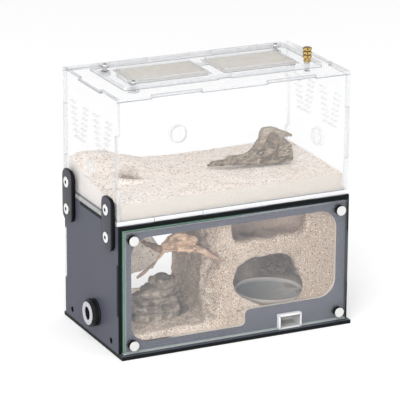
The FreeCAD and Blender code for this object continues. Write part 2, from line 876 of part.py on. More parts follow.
def chamber_ring(y, size):
    """Flat-topped outline of the chamber at one depth, leaning to the left."""
    middle = Vector(chamber_centre.x, y, chamber_centre.z)
    corners = [
        middle + Vector(-chamber_floor_left, 0, -chamber_drop) * size,
        middle + Vector(chamber_floor_right, 0, -chamber_drop) * size,
        middle + Vector(chamber_roof_right, 0, chamber_rise) * size,
        middle + Vector(-chamber_roof_left, 0, chamber_rise) * size,
    ]
    cuts = [chamber_floor_cut, chamber_heel_cut, chamber_brow_cut, chamber_shoulder_cut]
    return cut_corner_outline(corners, [cut * size for cut in cuts])


chamber_rings = []
for k in range(chamber_steps + 1):
    share = k / (chamber_steps + 0.25)
    y = chamber_centre.y - chamber_from_front + chamber_depth * share
    chamber_rings.append(chamber_ring(y, math.sqrt(1 - share ** 2)))
dome = facetted_loft(chamber_rings)
floor_z = nest_floor + chamber_floor
dome = dome.common(box(nest_left, nest_right, nest_front, nest_back, floor_z, nest_top))
well_low = Vector(chamber_centre.x, chamber_centre.y, floor_z)
well = rod(dish_radius + dish_fit_gap, well_low, well_low + Z * (dish_thickness + dish_headroom))
dish_hinge = Vector(chamber_centre.x, block_front, floor_z)
well.rotate(dish_hinge, X, dish_tilt)


def recess_outline(y, draft):
    x0, x1 = nest_left + recess_left + draft, nest_left + recess_right - draft
    z0, z1 = recess_floor + draft, recess_roof - draft
    corners = [Vector(x0, y, z0), Vector(x1, y, z0), Vector(x1, y, z1), Vector(x0, y, z1)]
    return cut_corner_outline(corners, [recess_corner] * 4)


recess_back = nest_front + recess_depth
recess = facetted_loft([recess_outline(nest_front, 0), recess_outline(recess_back, recess_draft)])
shaft = Vector(nest_left + shaft_from_left, nest_front + shaft_from_front, 0)
shaft_low = shaft + Z * chamber_centre.z
shaft_high = shaft + Z * (recess_floor + tunnel_radius)
gallery = Vector(nest_left, nest_front + gallery_from_front, recess_floor + gallery_rise)
gallery_start = gallery + X * (cavern_right_front - tunnel_radius)
gallery_end = gallery + X * (recess_left + tunnel_radius)
port_pocket_end = tube_port + X * (cavern_left + port_tunnel_length)
passage_foot = passage + Z * (cavern_roof - passage_drop)
port_pocket = box(port_left, port_right, nest_front, port_back, nest_floor, port_top)
tools = [
    cavern,
    dome,
    well,
    recess,
    rod(tunnel_radius, shaft_low, shaft_high),
    rod(tunnel_radius, gallery_start, gallery_end),
    rod(tube_nut_radius + nut_pocket_gap, tube_port, port_pocket_end),
    rod(passage_hole + block_gap, passage_foot, passage + Z * nest_top),
    port_pocket.makeOffsetShape(block_gap, 0.01, join=2),
] + nut_pockets(screw_heights[0])
pocket_half = insert_radius + nut_pocket_gap
pocket_back = nest_front + sheet + insert_length + nut_pocket_gap
for place in knob_places.values():
    sides = (place.x - pocket_half, place.x + pocket_half)
    tools.append(box(*sides, nest_front, pocket_back, place.z - pocket_half, place.z + pocket_half))

bank_right = nest_left + cavern_left
cavern_middle = (nest_floor + cavern_floor + cavern_roof) / 2
chamber_rear = nest_front + chamber_depth
chamber_top = chamber_centre.z + chamber_rise
gallery_floor = (chamber_top + recess_floor) / 2
right_corners = [
    Vector(nest_left + cavern_right_front, cavern_mouth, 0),
    Vector(nest_right, cavern_mouth, 0),
    Vector(nest_right, cavern_rear, 0),
    Vector(nest_left + cavern_right_back, cavern_rear, 0),
]
right_mass = Part.Face(Part.makePolygon(right_corners + [right_corners[0]])).extrude(Z * nest_top)
left_bank = box(block_left, bank_right, block_front, block_back, nest_floor, block_top)
cavern_bed = box(bank_right, block_right, block_front, block_back, nest_floor, cavern_middle)
cavern_cover = box(bank_right, block_right, block_front, block_back, cavern_middle, block_top)
casts = {
    "left_bank": left_bank,
    "cavern_floor": cavern_bed.cut(right_mass),
    "cavern_roof": cavern_cover.cut(right_mass),
}
right_levels = {
    "base": (block_front, chamber_rear, nest_floor, floor_z),
    "chamber": (block_front, chamber_rear, floor_z, gallery_floor),
    "gallery": (block_front, chamber_rear, gallery_floor, block_top),
    "rear_bank": (chamber_rear, block_back, nest_floor, block_top),
}
for name, spans in right_levels.items():
    casts[name] = right_mass.common(box(block_left, block_right, *spans))
for name, cast in casts.items():
    save("cast_" + name, solid_of(cast.cut(tools)))

# Dish on the oval chamber's floor, which rises to the back
dish = rod(dish_radius, well_low, well_low + Z * dish_thickness)
bowl_low = well_low + Z * (dish_thickness - dish_bowl_depth)
dish = dish.cut(rod(dish_bowl_radius, bowl_low, bowl_low + Z * dish_thickness))
dish.rotate(dish_hinge, X, dish_tilt)
dish = dish.common(box(nest_left, nest_right, block_front, nest_back, floor_z, nest_top))
save("chamber_dish", solid_of(dish))

# Sand bed: a block under a smooth surface
def sand_height(x, y):
    across = (x - tank_left) / (tank_right - tank_left)
    along = (y - tank_front) / (tank_back - tank_front)
    slope = sand_climb * across + sand_rise * along * (2 - along)
    dx = (x - tank_left - mound_from_left) / mound_spread_x
    dy = (y - nest_front - mound_from_front) / mound_spread_y
    mound = mound_height * math.exp(-(dx * dx + dy * dy))
    return tank_bottom + sheet + sand_level + slope + mound


sand_peak = tank_bottom + sheet + sand_level + sand_climb + sand_rise + mound_height
above_everything = sand_peak + mound_height + wood_head_height
sections = []
for i in range(sand_columns + 1):
    x = tank_left - sand_overlap + (tank_right - tank_left + 2 * sand_overlap) * i / sand_columns
    ridge = []
    for j in range(sand_rows + 1):
        y = tank_front - sand_overlap + (tank_back - tank_front + 2 * sand_overlap) * j / sand_rows
        ridge.append(Vector(x, y, sand_height(x, y)))
    back_corner = ridge[-1] + Z * (above_everything - ridge[-1].z)
    front_corner = ridge[0] + Z * (above_everything - ridge[0].z)
    sections.append(ridge + [back_corner, front_corner])
above_sand = facetted_loft(sections)
sand = box(
    tank_left + sheet + sand_gap,
    tank_right - sheet - sand_gap,
    tank_front + sheet + sand_gap,
    tank_back - sheet - sand_gap,
    tank_bottom + sheet,
    sand_peak,
)
sand = sand.cut(above_sand)
sand = sand.cut(rod(passage_hole + sand_gap, passage + Z * tank_bottom, passage + Z * sand_peak))
sand = sand.cut(nut_pockets(screw_heights[1]))
save("sand_bed", solid_of(sand))

# Driftwood: a low tail that rises into a flared head
def wood_section(share, height, width, lean):
    x = nest_left + wood_left + wood_length * share
    y = nest_front + wood_from_front + lean
    low = sand_height(x, y) - wood_sink
    high = low + wood_sink + height
    middle = (low + high) / 2
    points = []
    for k in range(wood_sides):
        angle = 2 * math.pi * k / wood_sides
        swell = 1 + wood_knots * math.cos(3 * angle + 5 * share)
        across = width / 2 * swell * math.cos(angle)
        points.append(Vector(x, y + across, middle + (high - low) / 2 * math.sin(angle)))
    return points


wood_shape = [
    (0.0, wood_tail_height, wood_tail_width, 7.0),
    (0.18, wood_back_height * 0.8, wood_tail_width * 1.9, 4.0),
    (0.40, wood_back_height, wood_head_width * 0.72, 1.0),
    (0.54, wood_head_height * 0.5, wood_head_width * 0.85, -0.5),
    (0.60, wood_head_height * 0.95, wood_head_width, -1.0),
    (0.77, wood_head_height, wood_head_width * 1.05, -1.5),
    (1.0, wood_head_height * 0.7, wood_head_width * 0.7, -1.5),
]
wood = facetted_loft([wood_section(*values) for values in wood_shape])
wood = wood.common(above_sand)
save("driftwood", solid_of(wood))

# Layered stones on the cavern's floor
def stone_slab(x0, x1, y0, y1, z, height, phase):
    """Flat stone: an irregular many-sided outline, narrower at the top."""
    loops = []
    for level, size in ((z, 1.0), (z + height, stone_taper)):
        points = []
        for k in range(stone_sides):
            angle = 2 * math.pi * (k + 0.5 * math.sin(phase + 2.0 * k) * 0.5) / stone_sides
            reach = size * (1 - 0.14 * (1 + math.sin(3.1 * k + phase)) / 2)
            x = (x0 + x1) / 2 + (x1 - x0) / 2 * reach * math.cos(angle)
            y = (y0 + y1) / 2 + (y1 - y0) / 2 * reach * math.sin(angle)
            points.append(Vector(x, y, level))
        loops.append(points)
    return facetted_loft(loops)


stones = []
for layer in range(stone_layers):
    z = nest_floor + cavern_floor + layer * stone_layer_height
    x0 = nest_left + stone_left + stone_left_step * max(0, layer + 1 - stone_ledge_layers)
    x1 = nest_left + stone_right - stone_right_step * layer
    y0 = nest_front + stone_front + stone_stagger * (layer % 2)
    y1 = nest_front + stone_back - stone_stagger * (layer % 2)
    slab = stone_slab(x0, x1, y0, y1, z, stone_layer_height, 1.7 * layer)
    stones.append(solid_of(slab.common(cavern)))
save("rock_stack", Part.makeCompound(stones))

# Root in the cavern
def limb(path, reference):
    """Many-sided limb along a path of (centre, radius), turned by a direction that it never runs along."""
    rings = []
    for i, (centre, radius) in enumerate(path):
        heading = path[min(i + 1, len(path) - 1)][0] - path[max(i - 1, 0)][0]
        across = heading.cross(reference).normalize()
        along = across.cross(heading).normalize()
        points = []
        for k in range(root_sides):
            angle = 2 * math.pi * k / root_sides
            points.append(centre + (along * math.cos(angle) + across * math.sin(angle)) * radius)
        rings.append(points)
    return facetted_loft(rings)


root_shape = [
    (0.0, root_left_drop, root_tip_radius),
    (0.23, root_left_drop * 0.65, root_tip_radius * 1.3),
    (0.40, root_left_drop * 0.35, root_trunk_radius * 0.46),
    (0.54, 1.0, root_trunk_radius * 0.85),
    (0.72, 0.0, root_trunk_radius),
    (0.87, root_right_drop * 0.4, root_trunk_radius * 0.85),
    (1.0, root_right_drop, root_end_radius),
]
root_y = nest_front + root_from_front
root_peak = nest_floor + root_peak_height
root_path = []
for share, drop, radius in root_shape:
    x = nest_left + root_left + root_length * share
    root_path.append((Vector(x, root_y - root_slant * max(0, 2 * share - 1), root_peak - drop), radius))
branch_x = nest_left + branch_from_left
branch_end = Vector(branch_x + branch_lean, lobe_front + branch_overrun, root_peak - branch_drop)
branch_path = [
    (Vector(branch_x, root_y, root_peak - branch_drop / 3), branch_radius),
    (Vector(branch_x, (root_y + lobe_front) / 2, root_peak - branch_drop / 2), branch_radius * 0.9),
    (branch_end, branch_end_radius),
]
root = limb(root_path, Y).fuse(limb(branch_path, Z))
save("root_branch", solid_of(root.common(cavern).cut(lobe)))
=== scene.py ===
import math
import random

import bmesh
import bpy
from mathutils import Matrix, Vector, noise
from mathutils.bvhtree import BVHTree


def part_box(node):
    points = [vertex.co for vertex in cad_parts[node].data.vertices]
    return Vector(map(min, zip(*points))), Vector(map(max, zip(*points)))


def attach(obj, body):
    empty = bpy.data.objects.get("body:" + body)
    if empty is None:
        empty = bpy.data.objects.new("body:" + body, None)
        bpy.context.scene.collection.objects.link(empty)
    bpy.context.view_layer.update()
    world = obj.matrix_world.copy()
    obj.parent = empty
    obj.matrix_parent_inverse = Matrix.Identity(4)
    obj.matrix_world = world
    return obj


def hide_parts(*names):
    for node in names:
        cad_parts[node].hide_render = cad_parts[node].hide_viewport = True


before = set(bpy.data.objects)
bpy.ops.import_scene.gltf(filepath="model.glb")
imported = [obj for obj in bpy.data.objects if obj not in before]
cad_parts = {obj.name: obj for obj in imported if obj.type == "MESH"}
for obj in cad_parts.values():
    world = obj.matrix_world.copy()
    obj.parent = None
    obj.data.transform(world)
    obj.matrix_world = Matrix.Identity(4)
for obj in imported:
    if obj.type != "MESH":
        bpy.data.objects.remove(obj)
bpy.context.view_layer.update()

scene = bpy.context.scene
mm = 0.001  # lengths are in millimetres where nothing else is said, and mm turns them into metres

print("camera and light")
view = {
    "place": (-873.387, -1809.793, 750.906),
    "turn": -25.503,  # degrees about Z
    "tilt": 72.083,  # degrees up from looking straight down
    "roll": 0.244,
    "lens": 239.66,
    "sensor": 36,
    "shiftX": 0.0096,
    "shiftY": -0.0027,
    "reach": 50,  # metres
    "clearLayers": 40,  # how many clear surfaces a ray may pass, because the walls stack up many thin ones
}
cameraData = bpy.data.cameras.new("productCamera")
cameraData.sensor_width = view["sensor"]
cameraData.lens = view["lens"]
cameraData.shift_x = view["shiftX"]
cameraData.shift_y = view["shiftY"]
cameraData.clip_end = view["reach"]
camera = bpy.data.objects.new("productCamera", cameraData)
scene.collection.objects.link(camera)
camera.matrix_world = (
    Matrix.Translation(Vector(view["place"]) * mm)
    @ Matrix.Rotation(math.radians(view["turn"]), 4, "Z")
    @ Matrix.Rotation(math.radians(view["tilt"]), 4, "X")
    @ Matrix.Rotation(math.radians(view["roll"]), 4, "Z")
)
scene.camera = camera
scene.view_settings.view_transform = "Standard"
scene.cycles.transparent_max_bounces = view["clearLayers"]

studio = {
    "worldLight": 0.62,
    "lamps": {  # (power, size, place), sizes and places in metres
        "key": (22.0, 1.6, (-1.1, -1.3, 1.9)),
        "fill": (9.0, 2.2, (1.9, -1.2, 1.2)),
        "front": (19.0, 0.8, (-0.95, -1.75, 0.42)),
    },
    "aim": (0, 0, 0.1),  # metres
    "floorSize": 8.0,  # metres
    "floorColor": (0.86, 0.86, 0.86),
    "floorGlow": 0.30,
}


def put(tree, socket, value):
    if isinstance(value, Signal):
        tree.links.new(value.socket, socket)
    elif isinstance(value, bpy.types.NodeSocket):
        tree.links.new(value, socket)
    elif hasattr(value, "__len__") and len(value) == 3 and socket.type == "RGBA":
        socket.default_value = (*value, 1)
    else:
        socket.default_value = value


class Signal:
    # a number socket that takes part in Python expressions

    def __init__(self, tree, socket):
        self.tree = tree
        self.socket = socket

    def math(self, operation, *others, first=None):
        mathNode = self.tree.nodes.new("ShaderNodeMath")
        mathNode.operation = operation
        values = (first, self) if first is not None else (self, *others)
        for socket, value in zip(mathNode.inputs, values):
            put(self.tree, socket, value)
        return Signal(self.tree, mathNode.outputs[0])

    def __add__(self, other):
        return self.math("ADD", other)

    __radd__ = __add__

    def __sub__(self, other):
        return self.math("SUBTRACT", other)

    def __rsub__(self, other):
        return self.math("SUBTRACT", first=other)

    def __mul__(self, other):
        return self.math("MULTIPLY", other)

    __rmul__ = __mul__

    def __truediv__(self, other):
        return self.math("DIVIDE", other)

    def __abs__(self):
        return self.math("ABSOLUTE")

    def most(self, other):
        return self.math("MAXIMUM", other)

    def step(self, low, high):  # 0 at low, 1 at high, smooth between
        ranged = self.tree.nodes.new("ShaderNodeMapRange")
        ranged.interpolation_type = "SMOOTHSTEP"
        for name, value in (("Value", self), ("From Min", low), ("From Max", high)):
            put(self.tree, ranged.inputs[name], value)
        return Signal(self.tree, ranged.outputs["Result"])

    def drop(self, low, high):  # 1 at low, 0 at high
        return 1 - self.step(low, high)

    def band(self, low, full, last, high):  # rises from low to full, and drops again from last to high
        return self.step(low, full) * self.drop(last, high)

    def near(self, place, full, reach):  # 1 as far as full from the place, 0 beyond reach
        return abs(self - place).drop(full, reach)

    def frayed(self, clouds, reach):  # moved to and fro by clouds, so that a zone's border turns ragged
        return self + (clouds - 0.5) * reach


class Finish:
    # one material: a Principled shader and the nodes that feed it

    def __init__(self, name, **values):
        self.material = bpy.data.materials.new(name)
        self.material.use_nodes = True
        self.tree = self.material.node_tree
        self.shader = self.tree.nodes["Principled BSDF"]
        self.coords = self.node("ShaderNodeTexCoord").outputs
        self.place = self.coords["Object"]
        self.set(**values)

    def set(self, **values):
        names = {
            "color": "Base Color", "rough": "Roughness", "metal": "Metallic", "ior": "IOR", "alpha": "Alpha",
            "normal": "Normal", "glow": "Emission Color", "glowStrength": "Emission Strength",
            "specular": "Specular IOR Level",
        }
        for name, value in values.items():
            put(self.tree, self.shader.inputs[names[name]], value)

    def node(self, kind, settings=None, **sockets):
        made = self.tree.nodes.new(kind)
        for name, value in (settings or {}).items():
            setattr(made, name, value)
        for name, value in sockets.items():
            put(self.tree, made.inputs[name], value)
        return made

    def parts(self, vector):
        split = self.node("ShaderNodeSeparateXYZ", Vector=vector)
        return [Signal(self.tree, output) for output in split.outputs]

    def axes(self, names="XYZ"):  # the place in millimetres
        parts = self.parts(self.place)
        return [parts["XYZ".index(name)] / mm for name in names]

    def facing(self, axis, low=0.6, high=0.95):  # 1 on faces across the axis, 0 on faces along it
        return abs(self.parts(self.coords["Normal"])["XYZ".index(axis)]).step(low, high)

    def stretched(self, scale):
        return self.node("ShaderNodeMapping", Vector=self.place, Scale=scale).outputs[0]

    def clouds(self, size, detail=4, rough=0.55, vector=None, warp=0.0):  # size is in millimetres
        made = self.node(
            "ShaderNodeTexNoise", Vector=vector or self.place, Scale=1 / (size * mm),
            Detail=detail, Roughness=rough, Distortion=warp,
        )
        return Signal(self.tree, made.outputs["Fac"])

    def specks(self, size, inner, outer, few, many):
        # round specks in some of the cells that fill the surface, size millimetres apart
        made = self.node("ShaderNodeTexVoronoi", Vector=self.place, Scale=1 / (size * mm))
        chosen = self.parts(made.outputs["Color"])[0].step(few, many)
        return Signal(self.tree, made.outputs["Distance"]).drop(inner, outer) * chosen

    def attribute(self, name):
        return Signal(self.tree, self.node("ShaderNodeAttribute", {"attribute_name": name}).outputs["Fac"])

    def mix(self, factor, low, high):
        made = self.node("ShaderNodeMix", {"data_type": "RGBA"})
        for index, value in ((0, factor), (6, low), (7, high)):
            put(self.tree, made.inputs[index], value)
        return made.outputs[2]

    def layers(self, color, *coats):  # each coat is (how much of it, colour), laid over what is there
        for factor, coat in coats:
            color = self.mix(factor, color, coat)
        return color

    def ramp(self, value, stops):
        made = self.node("ShaderNodeValToRGB", Fac=value)
        elements = made.color_ramp.elements
        while len(elements) < len(stops):
            elements.new(0.5)
        for element, (position, color) in zip(elements, stops):
            element.position = position
            element.color = (*color, 1)
        return made.outputs["Color"]

    def bump(self, *waves):  # each wave is (height, depth in millimetres, strength), laid over the one before
        under = {}
        for height, depth, strength in waves:
            made = self.node("ShaderNodeBump", Height=height, Distance=depth * mm, Strength=strength, **under)
            under = {"Normal": made.outputs["Normal"]}
        self.set(normal=made.outputs["Normal"])


def seenDirectly(tree):  # 1 for what the camera sees, also in reflections and through glass
    rays = tree.nodes.new("ShaderNodeLightPath").outputs
    seen = Signal(tree, rays["Is Camera Ray"])
    for kind in ("Is Glossy Ray", "Is Transmission Ray"):
        seen = seen.most(Signal(tree, rays[kind]))
    return seen


def makeLights():
    world = bpy.data.worlds.new("studio")
    scene.world = world
    world.use_nodes = True
    tree = world.node_tree
    background = tree.nodes["Background"]
    background.inputs["Color"].default_value = (1, 1, 1, 1)
    strength = studio["worldLight"] + seenDirectly(tree) * (1 - studio["worldLight"])
    put(tree, background.inputs["Strength"], strength)
    for name, (power, size, place) in studio["lamps"].items():
        lampData = bpy.data.lights.new(name + "Lamp", "AREA")
        lampData.energy = power
        lampData.size = size
        lamp = bpy.data.objects.new(name + "Lamp", lampData)
        scene.collection.objects.link(lamp)
        place = Vector(place)
        turn = (Vector(studio["aim"]) - place).to_track_quat("-Z", "Y").to_matrix().to_4x4()
        lamp.matrix_world = Matrix.Translation(place) @ turn


def makeFloor():
    body = bmesh.new()
    bmesh.ops.create_grid(body, x_segments=4, y_segments=4, size=studio["floorSize"] / 2)
    mesh = bpy.data.meshes.new("studioFloor")
    body.to_mesh(mesh)
    body.free()
    floor = bpy.data.objects.new("studioFloor", mesh)
    scene.collection.objects.link(floor)
    finish = Finish("floorPaper", color=studio["floorColor"], rough=0.9, specular=0.0)
    glow = studio["floorGlow"]
    finish.set(glow=finish.mix(seenDirectly(finish.tree), (0, 0, 0), (glow, glow, glow)), glowStrength=1.0)
    mesh.materials.append(finish.material)


makeLights()
makeFloor()

print("finishes")

# In the paint dictionaries a pair of colours is what a noise or a place moves between, and a band is where a zone
# begins, is full, is still full and ends. Places and heights are millimetres in the part's own frame.
clearPaint = {
    "edge": ((0.56, 0.57, 0.59), (0.72, 0.73, 0.75)), "face": (0.80, 0.81, 0.84),
    "joint": ((0.84, 0.85, 0.86), (0.97, 0.97, 0.97)), "jointBand": (105.5, 106.3, 109.6, 110.4), "jointAlpha": 0.85,
    "hairline": (0.30, 0.30, 0.31), "hairlineMiddle": -47.9, "hairlineAway": 20.6,
    "seam": ((0.20, 0.205, 0.22), (0.36, 0.37, 0.39)), "seamHeights": (204.3, 207.5),
    "corner": (0.90, 0.905, 0.92), "slotMiddle": 4, "slotReach": (44, 46), "slotBand": (128, 130, 198, 200),
}


def clearSheet(name, axis, veil=0.05):
    # clear cast sheet: its broad faces nearly vanish, its sawn edges are grey, and the joint over the nest is pale; the
    # rear right edges are painted near white, as painted light
    paint = clearPaint
    finish = Finish(name, ior=1.49)
    x, y, z = finish.axes()
    broad = finish.facing(axis)
    smear, scuff = finish.clouds(34), finish.clouds(3.5, 2)
    joint = z.band(*paint["jointBand"]) * (1 - finish.facing("X") * 0.45)
    hairline = abs(x - paint["hairlineMiddle"]).near(paint["hairlineAway"], 0.15, 0.35)
    low, high = [z.near(height, 0.25, 0.6) for height in paint["seamHeights"]]
    seam = low.most(high)
    edge = finish.layers(
        finish.mix(scuff, *paint["edge"]),
        (seam, finish.mix(scuff, *paint["seam"])),
        # painted light: the rear right edges are painted near white
        (x.step(88, 96) * y.step(30, 50), paint["corner"]),
    )
    finish.set(color=finish.layers(
        edge,
        (broad, paint["face"]),
        (joint, finish.mix(hairline, finish.mix(scuff, *paint["joint"]), paint["hairline"])),
    ))
    cut = 0.50 + scuff * 0.1 + seam * 0.15
    if axis == "X":  # the side walls' slots have clearer edges
        cut = cut * (1 - y.near(paint["slotMiddle"], *paint["slotReach"]) * z.band(*paint["slotBand"]) * 0.6)
    alpha = (1 - broad) * cut + broad * veil + smear * veil * 0.6
    finish.set(alpha=alpha.most(joint * paint["jointAlpha"]), rough=0.34 - broad * 0.28)
    finish.bump((scuff, 0.02, 0.15))
    return finish.material


blackPaint = {
    "front": ((0.077, 0.080, 0.104), (0.096, 0.100, 0.129)), "side": ((0.081, 0.085, 0.112), (0.101, 0.105, 0.138)),
    "edge": ((0.003, 0.004, 0.004), (0.010, 0.012, 0.013)),
    "window": ((0.55, 0.50, 0.44), (0.68, 0.62, 0.55)), "windowReach": (89.5, 89.9), "windowBand": (9.0, 9.6, 96, 96.5),
}


def blackSheet(name, axis):
    # black cast sheet: satin slate on its broad faces, near black along its sawn edges; on the front panel the slate is
    # painted only where the glass covers it, as painted reflection of the glass, and the face above the glass and at
    # its far left is near black painted shade
    paint = blackPaint
    finish = Finish(name, specular=0.1)
    x, z = finish.axes("XZ")
    broad = finish.facing(axis)
    haze, fine = finish.clouds(60), finish.clouds(0.8, 2)
    face = finish.mix(haze, *paint["front" if axis == "Y" else "side"])
    edge = finish.mix(fine, *paint["edge"])
    if axis == "Y":  # the window's own edges catch the light of the cast behind them
        window = abs(x).drop(*paint["windowReach"]) * z.band(*paint["windowBand"])
        edge = finish.mix(window * x.step(-60, -50), edge, finish.mix(fine, *paint["window"]))
        # painted reflection and shade: the front panel's face is slate only behind the glass, and near black above it
        # and at its far left
        broad = broad * z.drop(103.2, 103.7) * x.step(-97.3, -96.8)
    finish.set(color=finish.mix(broad, edge, face), rough=0.44 - broad * 0.08 + haze * 0.06 + fine * 0.03)
    finish.bump((haze, 0.05, 0.1))
    return finish.material


def shadedTube(name):
    # the clear passage tube, painted sandy brown as painted shade of the hole it stands in
    finish = Finish(name, rough=0.9, specular=0.1)
    brownPatches, grain = finish.clouds(4, 5, 0.7), finish.clouds(1.2, 3)
    finish.set(color=finish.mix(brownPatches, (0.46, 0.36, 0.28), (0.74, 0.62, 0.52)), alpha=0.88 + grain * 0.12)
    finish.bump((grain, 0.4, 0.6))
    return finish.material


glassPaint = {
    "front": -53.7, "back": -50.7,  # the pane's own faces
    "edge": [  # from the front face to the back one, lit green fading into painted shade
        (0.0, (0.30, 0.52, 0.40)), (0.35, (0.20, 0.38, 0.29)), (0.8, (0.05, 0.12, 0.08)), (1.0, (0.02, 0.05, 0.035)),
    ],
    "rightEdgeShade": ((0.012, 0.022, 0.018), (0.025, 0.045, 0.036)), "face": (0.90, 0.92, 0.97),
    "topRim": (0.05, 0.105, 0.08), "leftRim": (0.13, 0.25, 0.19), "low": ((0.72, 0.82, 0.77), (0.82, 0.90, 0.86)),
}


def glassPane(name):
    # float glass: clear across the middle, green along its left and top edges, with a painted highlight along its low
    # edge; its sawn edges are painted lit green at the front and on the left, and dark as painted shade towards the
    # back and on the right
    paint = glassPaint
    finish = Finish(name, ior=1.52)
    x, y, z = finish.axes()
    outline = abs(x).step(96.2, 96.8).most(z.step(102.8, 103.3)).most(z.drop(3.5, 4))
    sawn = (1 - finish.facing("Y")) * outline  # the outer edge, and not the walls of the knobs' holes
    leftRim = (0 - x).step(94.2, 96.2)
    rim = leftRim.most(z.step(101.4, 102.9) * x.drop(-40, 120))
    # the low edge carries a painted highlight
    lowHighlight = z.drop(3.6, 4.4)
    smear = finish.clouds(45)
    # painted light and shade on the sawn edges: lit green on the left, dark on the right
    edge = finish.mix(
        x.step(-80, 60), finish.ramp(y.step(paint["front"], paint["back"]), paint["edge"]),
        finish.mix(smear, *paint["rightEdgeShade"]),
    )
    pale = finish.mix(smear, *paint["low"])
    face = finish.layers(
        paint["face"], (rim, finish.mix(leftRim, paint["topRim"], paint["leftRim"])), (lowHighlight, pale),
    )
    finish.set(color=finish.mix(sawn, face, finish.mix(lowHighlight, edge, pale)))
    clear = 0.04 + rim * 0.6 + lowHighlight * 0.35 + smear * 0.025
    finish.set(alpha=sawn * (0.95 - lowHighlight * 0.45) + (1 - sawn) * clear, rough=0.03 + smear * 0.04)
    return finish.material


def mouldedPlastic(name, low, high, rough=0.4, specular=0.5):
    # moulded plastic with a fine spark-eroded grain
    finish = Finish(name, specular=specular)
    grains = finish.clouds(0.9, 2)
    finish.set(color=finish.mix(finish.clouds(9), low, high), rough=rough - 0.08 + grains * 0.16)
    finish.bump((grains, 0.03, 0.4))
    return finish.material


def linkSheet(name):
    # black link brackets: slate on the broad face, near black round the edge, and near black painted shade on the near
    # end of each face
    finish = Finish(name, specular=0.15)
    [y] = finish.axes("Y")
    nearEndShade = y.drop(-44.2, -42.2).most(y.band(-27, -26, 33.2, 35.0))  # the near end of each bracket's face, painted near black as painted shade
    broad = finish.facing("X", 0.7, 0.97) * (1 - nearEndShade)
    patches = finish.clouds(14)
    face = finish.mix(patches, (0.052, 0.053, 0.067), (0.075, 0.076, 0.094))
    finish.set(color=finish.mix(broad, (0.002, 0.002, 0.003), face), rough=0.38 + patches * 0.12)
    finish.bump((patches, 0.03, 0.2))
    return finish.material


inletPaint = {
    "white": ((0.78, 0.79, 0.80), (0.86, 0.87, 0.88)), "shade": ((0.42, 0.42, 0.41), (0.56, 0.56, 0.55)),
    "deep": (0.10, 0.098, 0.09), "middle": (47.4, 9), "halfWidth": (8.4, 9.0), "halfHeight": (4.3, 4.9),
}


def inletPlastic(name):
    # white moulding of the water inlet: shaded down its mouth, most of all under its top
    paint = inletPaint
    finish = Finish(name)
    x, z = finish.axes("XZ")
    mouth = x.near(paint["middle"][0], *paint["halfWidth"]) * z.near(paint["middle"][1], *paint["halfHeight"])
    patches = finish.clouds(9)
    white = finish.mix(patches, *paint["white"])
    shade = finish.mix((z - x * 0.35).step(-13, -4), finish.mix(patches, *paint["shade"]), paint["deep"])
    finish.set(color=finish.mix(mouth, white, shade), rough=0.4 + patches * 0.15)
    finish.bump((finish.clouds(0.9, 2), 0.03, 0.4))
    return finish.material


def plugPlastic(name):
    # milky soft plastic of the port plugs
    finish = Finish(name)
    patches = finish.clouds(5)
    finish.set(color=finish.mix(patches, (0.80, 0.81, 0.82), (0.90, 0.91, 0.92)))
    finish.set(alpha=0.10 + patches * 0.14, rough=0.22 + patches * 0.2)
    return finish.material


def turnedMetal(name, low, high, rough=0.25, grain=2.0):
    # turned metal, painted near black as shade where the attribute socket marks a socket recess, a dimple or a waist
    finish = Finish(name, metal=1.0)
    brushed = finish.clouds(grain, 3, vector=finish.stretched((1, 1, 9)))
    socket = finish.attribute("socket")
    finish.set(color=finish.mix(socket, finish.mix(brushed, low, high), (0.004, 0.004, 0.005)))
    finish.set(rough=rough - 0.06 + brushed * 0.12 + socket * 0.5)
    finish.bump((brushed, 0.01, 0.3))
    return finish.material


castPaint = {
    "ground": ((0.53, 0.425, 0.335), (0.68, 0.575, 0.475)), "right": (0.40, 0.31, 0.24),
    "lobe": ((1.0, 0.93, 0.83), (0.74, 0.58, 0.52)), "lobePaintedLight": (0.085, 0.074, 0.062),
    "hollow": (0.52, 0.425, 0.34), "foot": (0.84, 0.73, 0.63), "speckled": (0.36, 0.27, 0.215),
    "bankShade": (0.39, 0.29, 0.23), "mottle": (0.25, 0.185, 0.15), "chalk": (0.86, 0.76, 0.65), "low": (0.74, 0.63, 0.53),
    "rubble": ((0.17, 0.13, 0.105), (0.46, 0.40, 0.32)), "chamber": ((0.110, 0.096, 0.094), (0.190, 0.163, 0.155)),
    "patch": (0.045, 0.041, 0.043), "dust": (0.40, 0.35, 0.315), "recess": ((0.31, 0.245, 0.215), (0.62, 0.49, 0.41)),
    "blotch": (0.38, 0.28, 0.205), "darkGrain": (0.26, 0.185, 0.135), "paleGrain": (0.86, 0.76, 0.66),
    "darkSpeck": (0.085, 0.065, 0.055), "paleSpeck": (0.95, 0.87, 0.78),
}


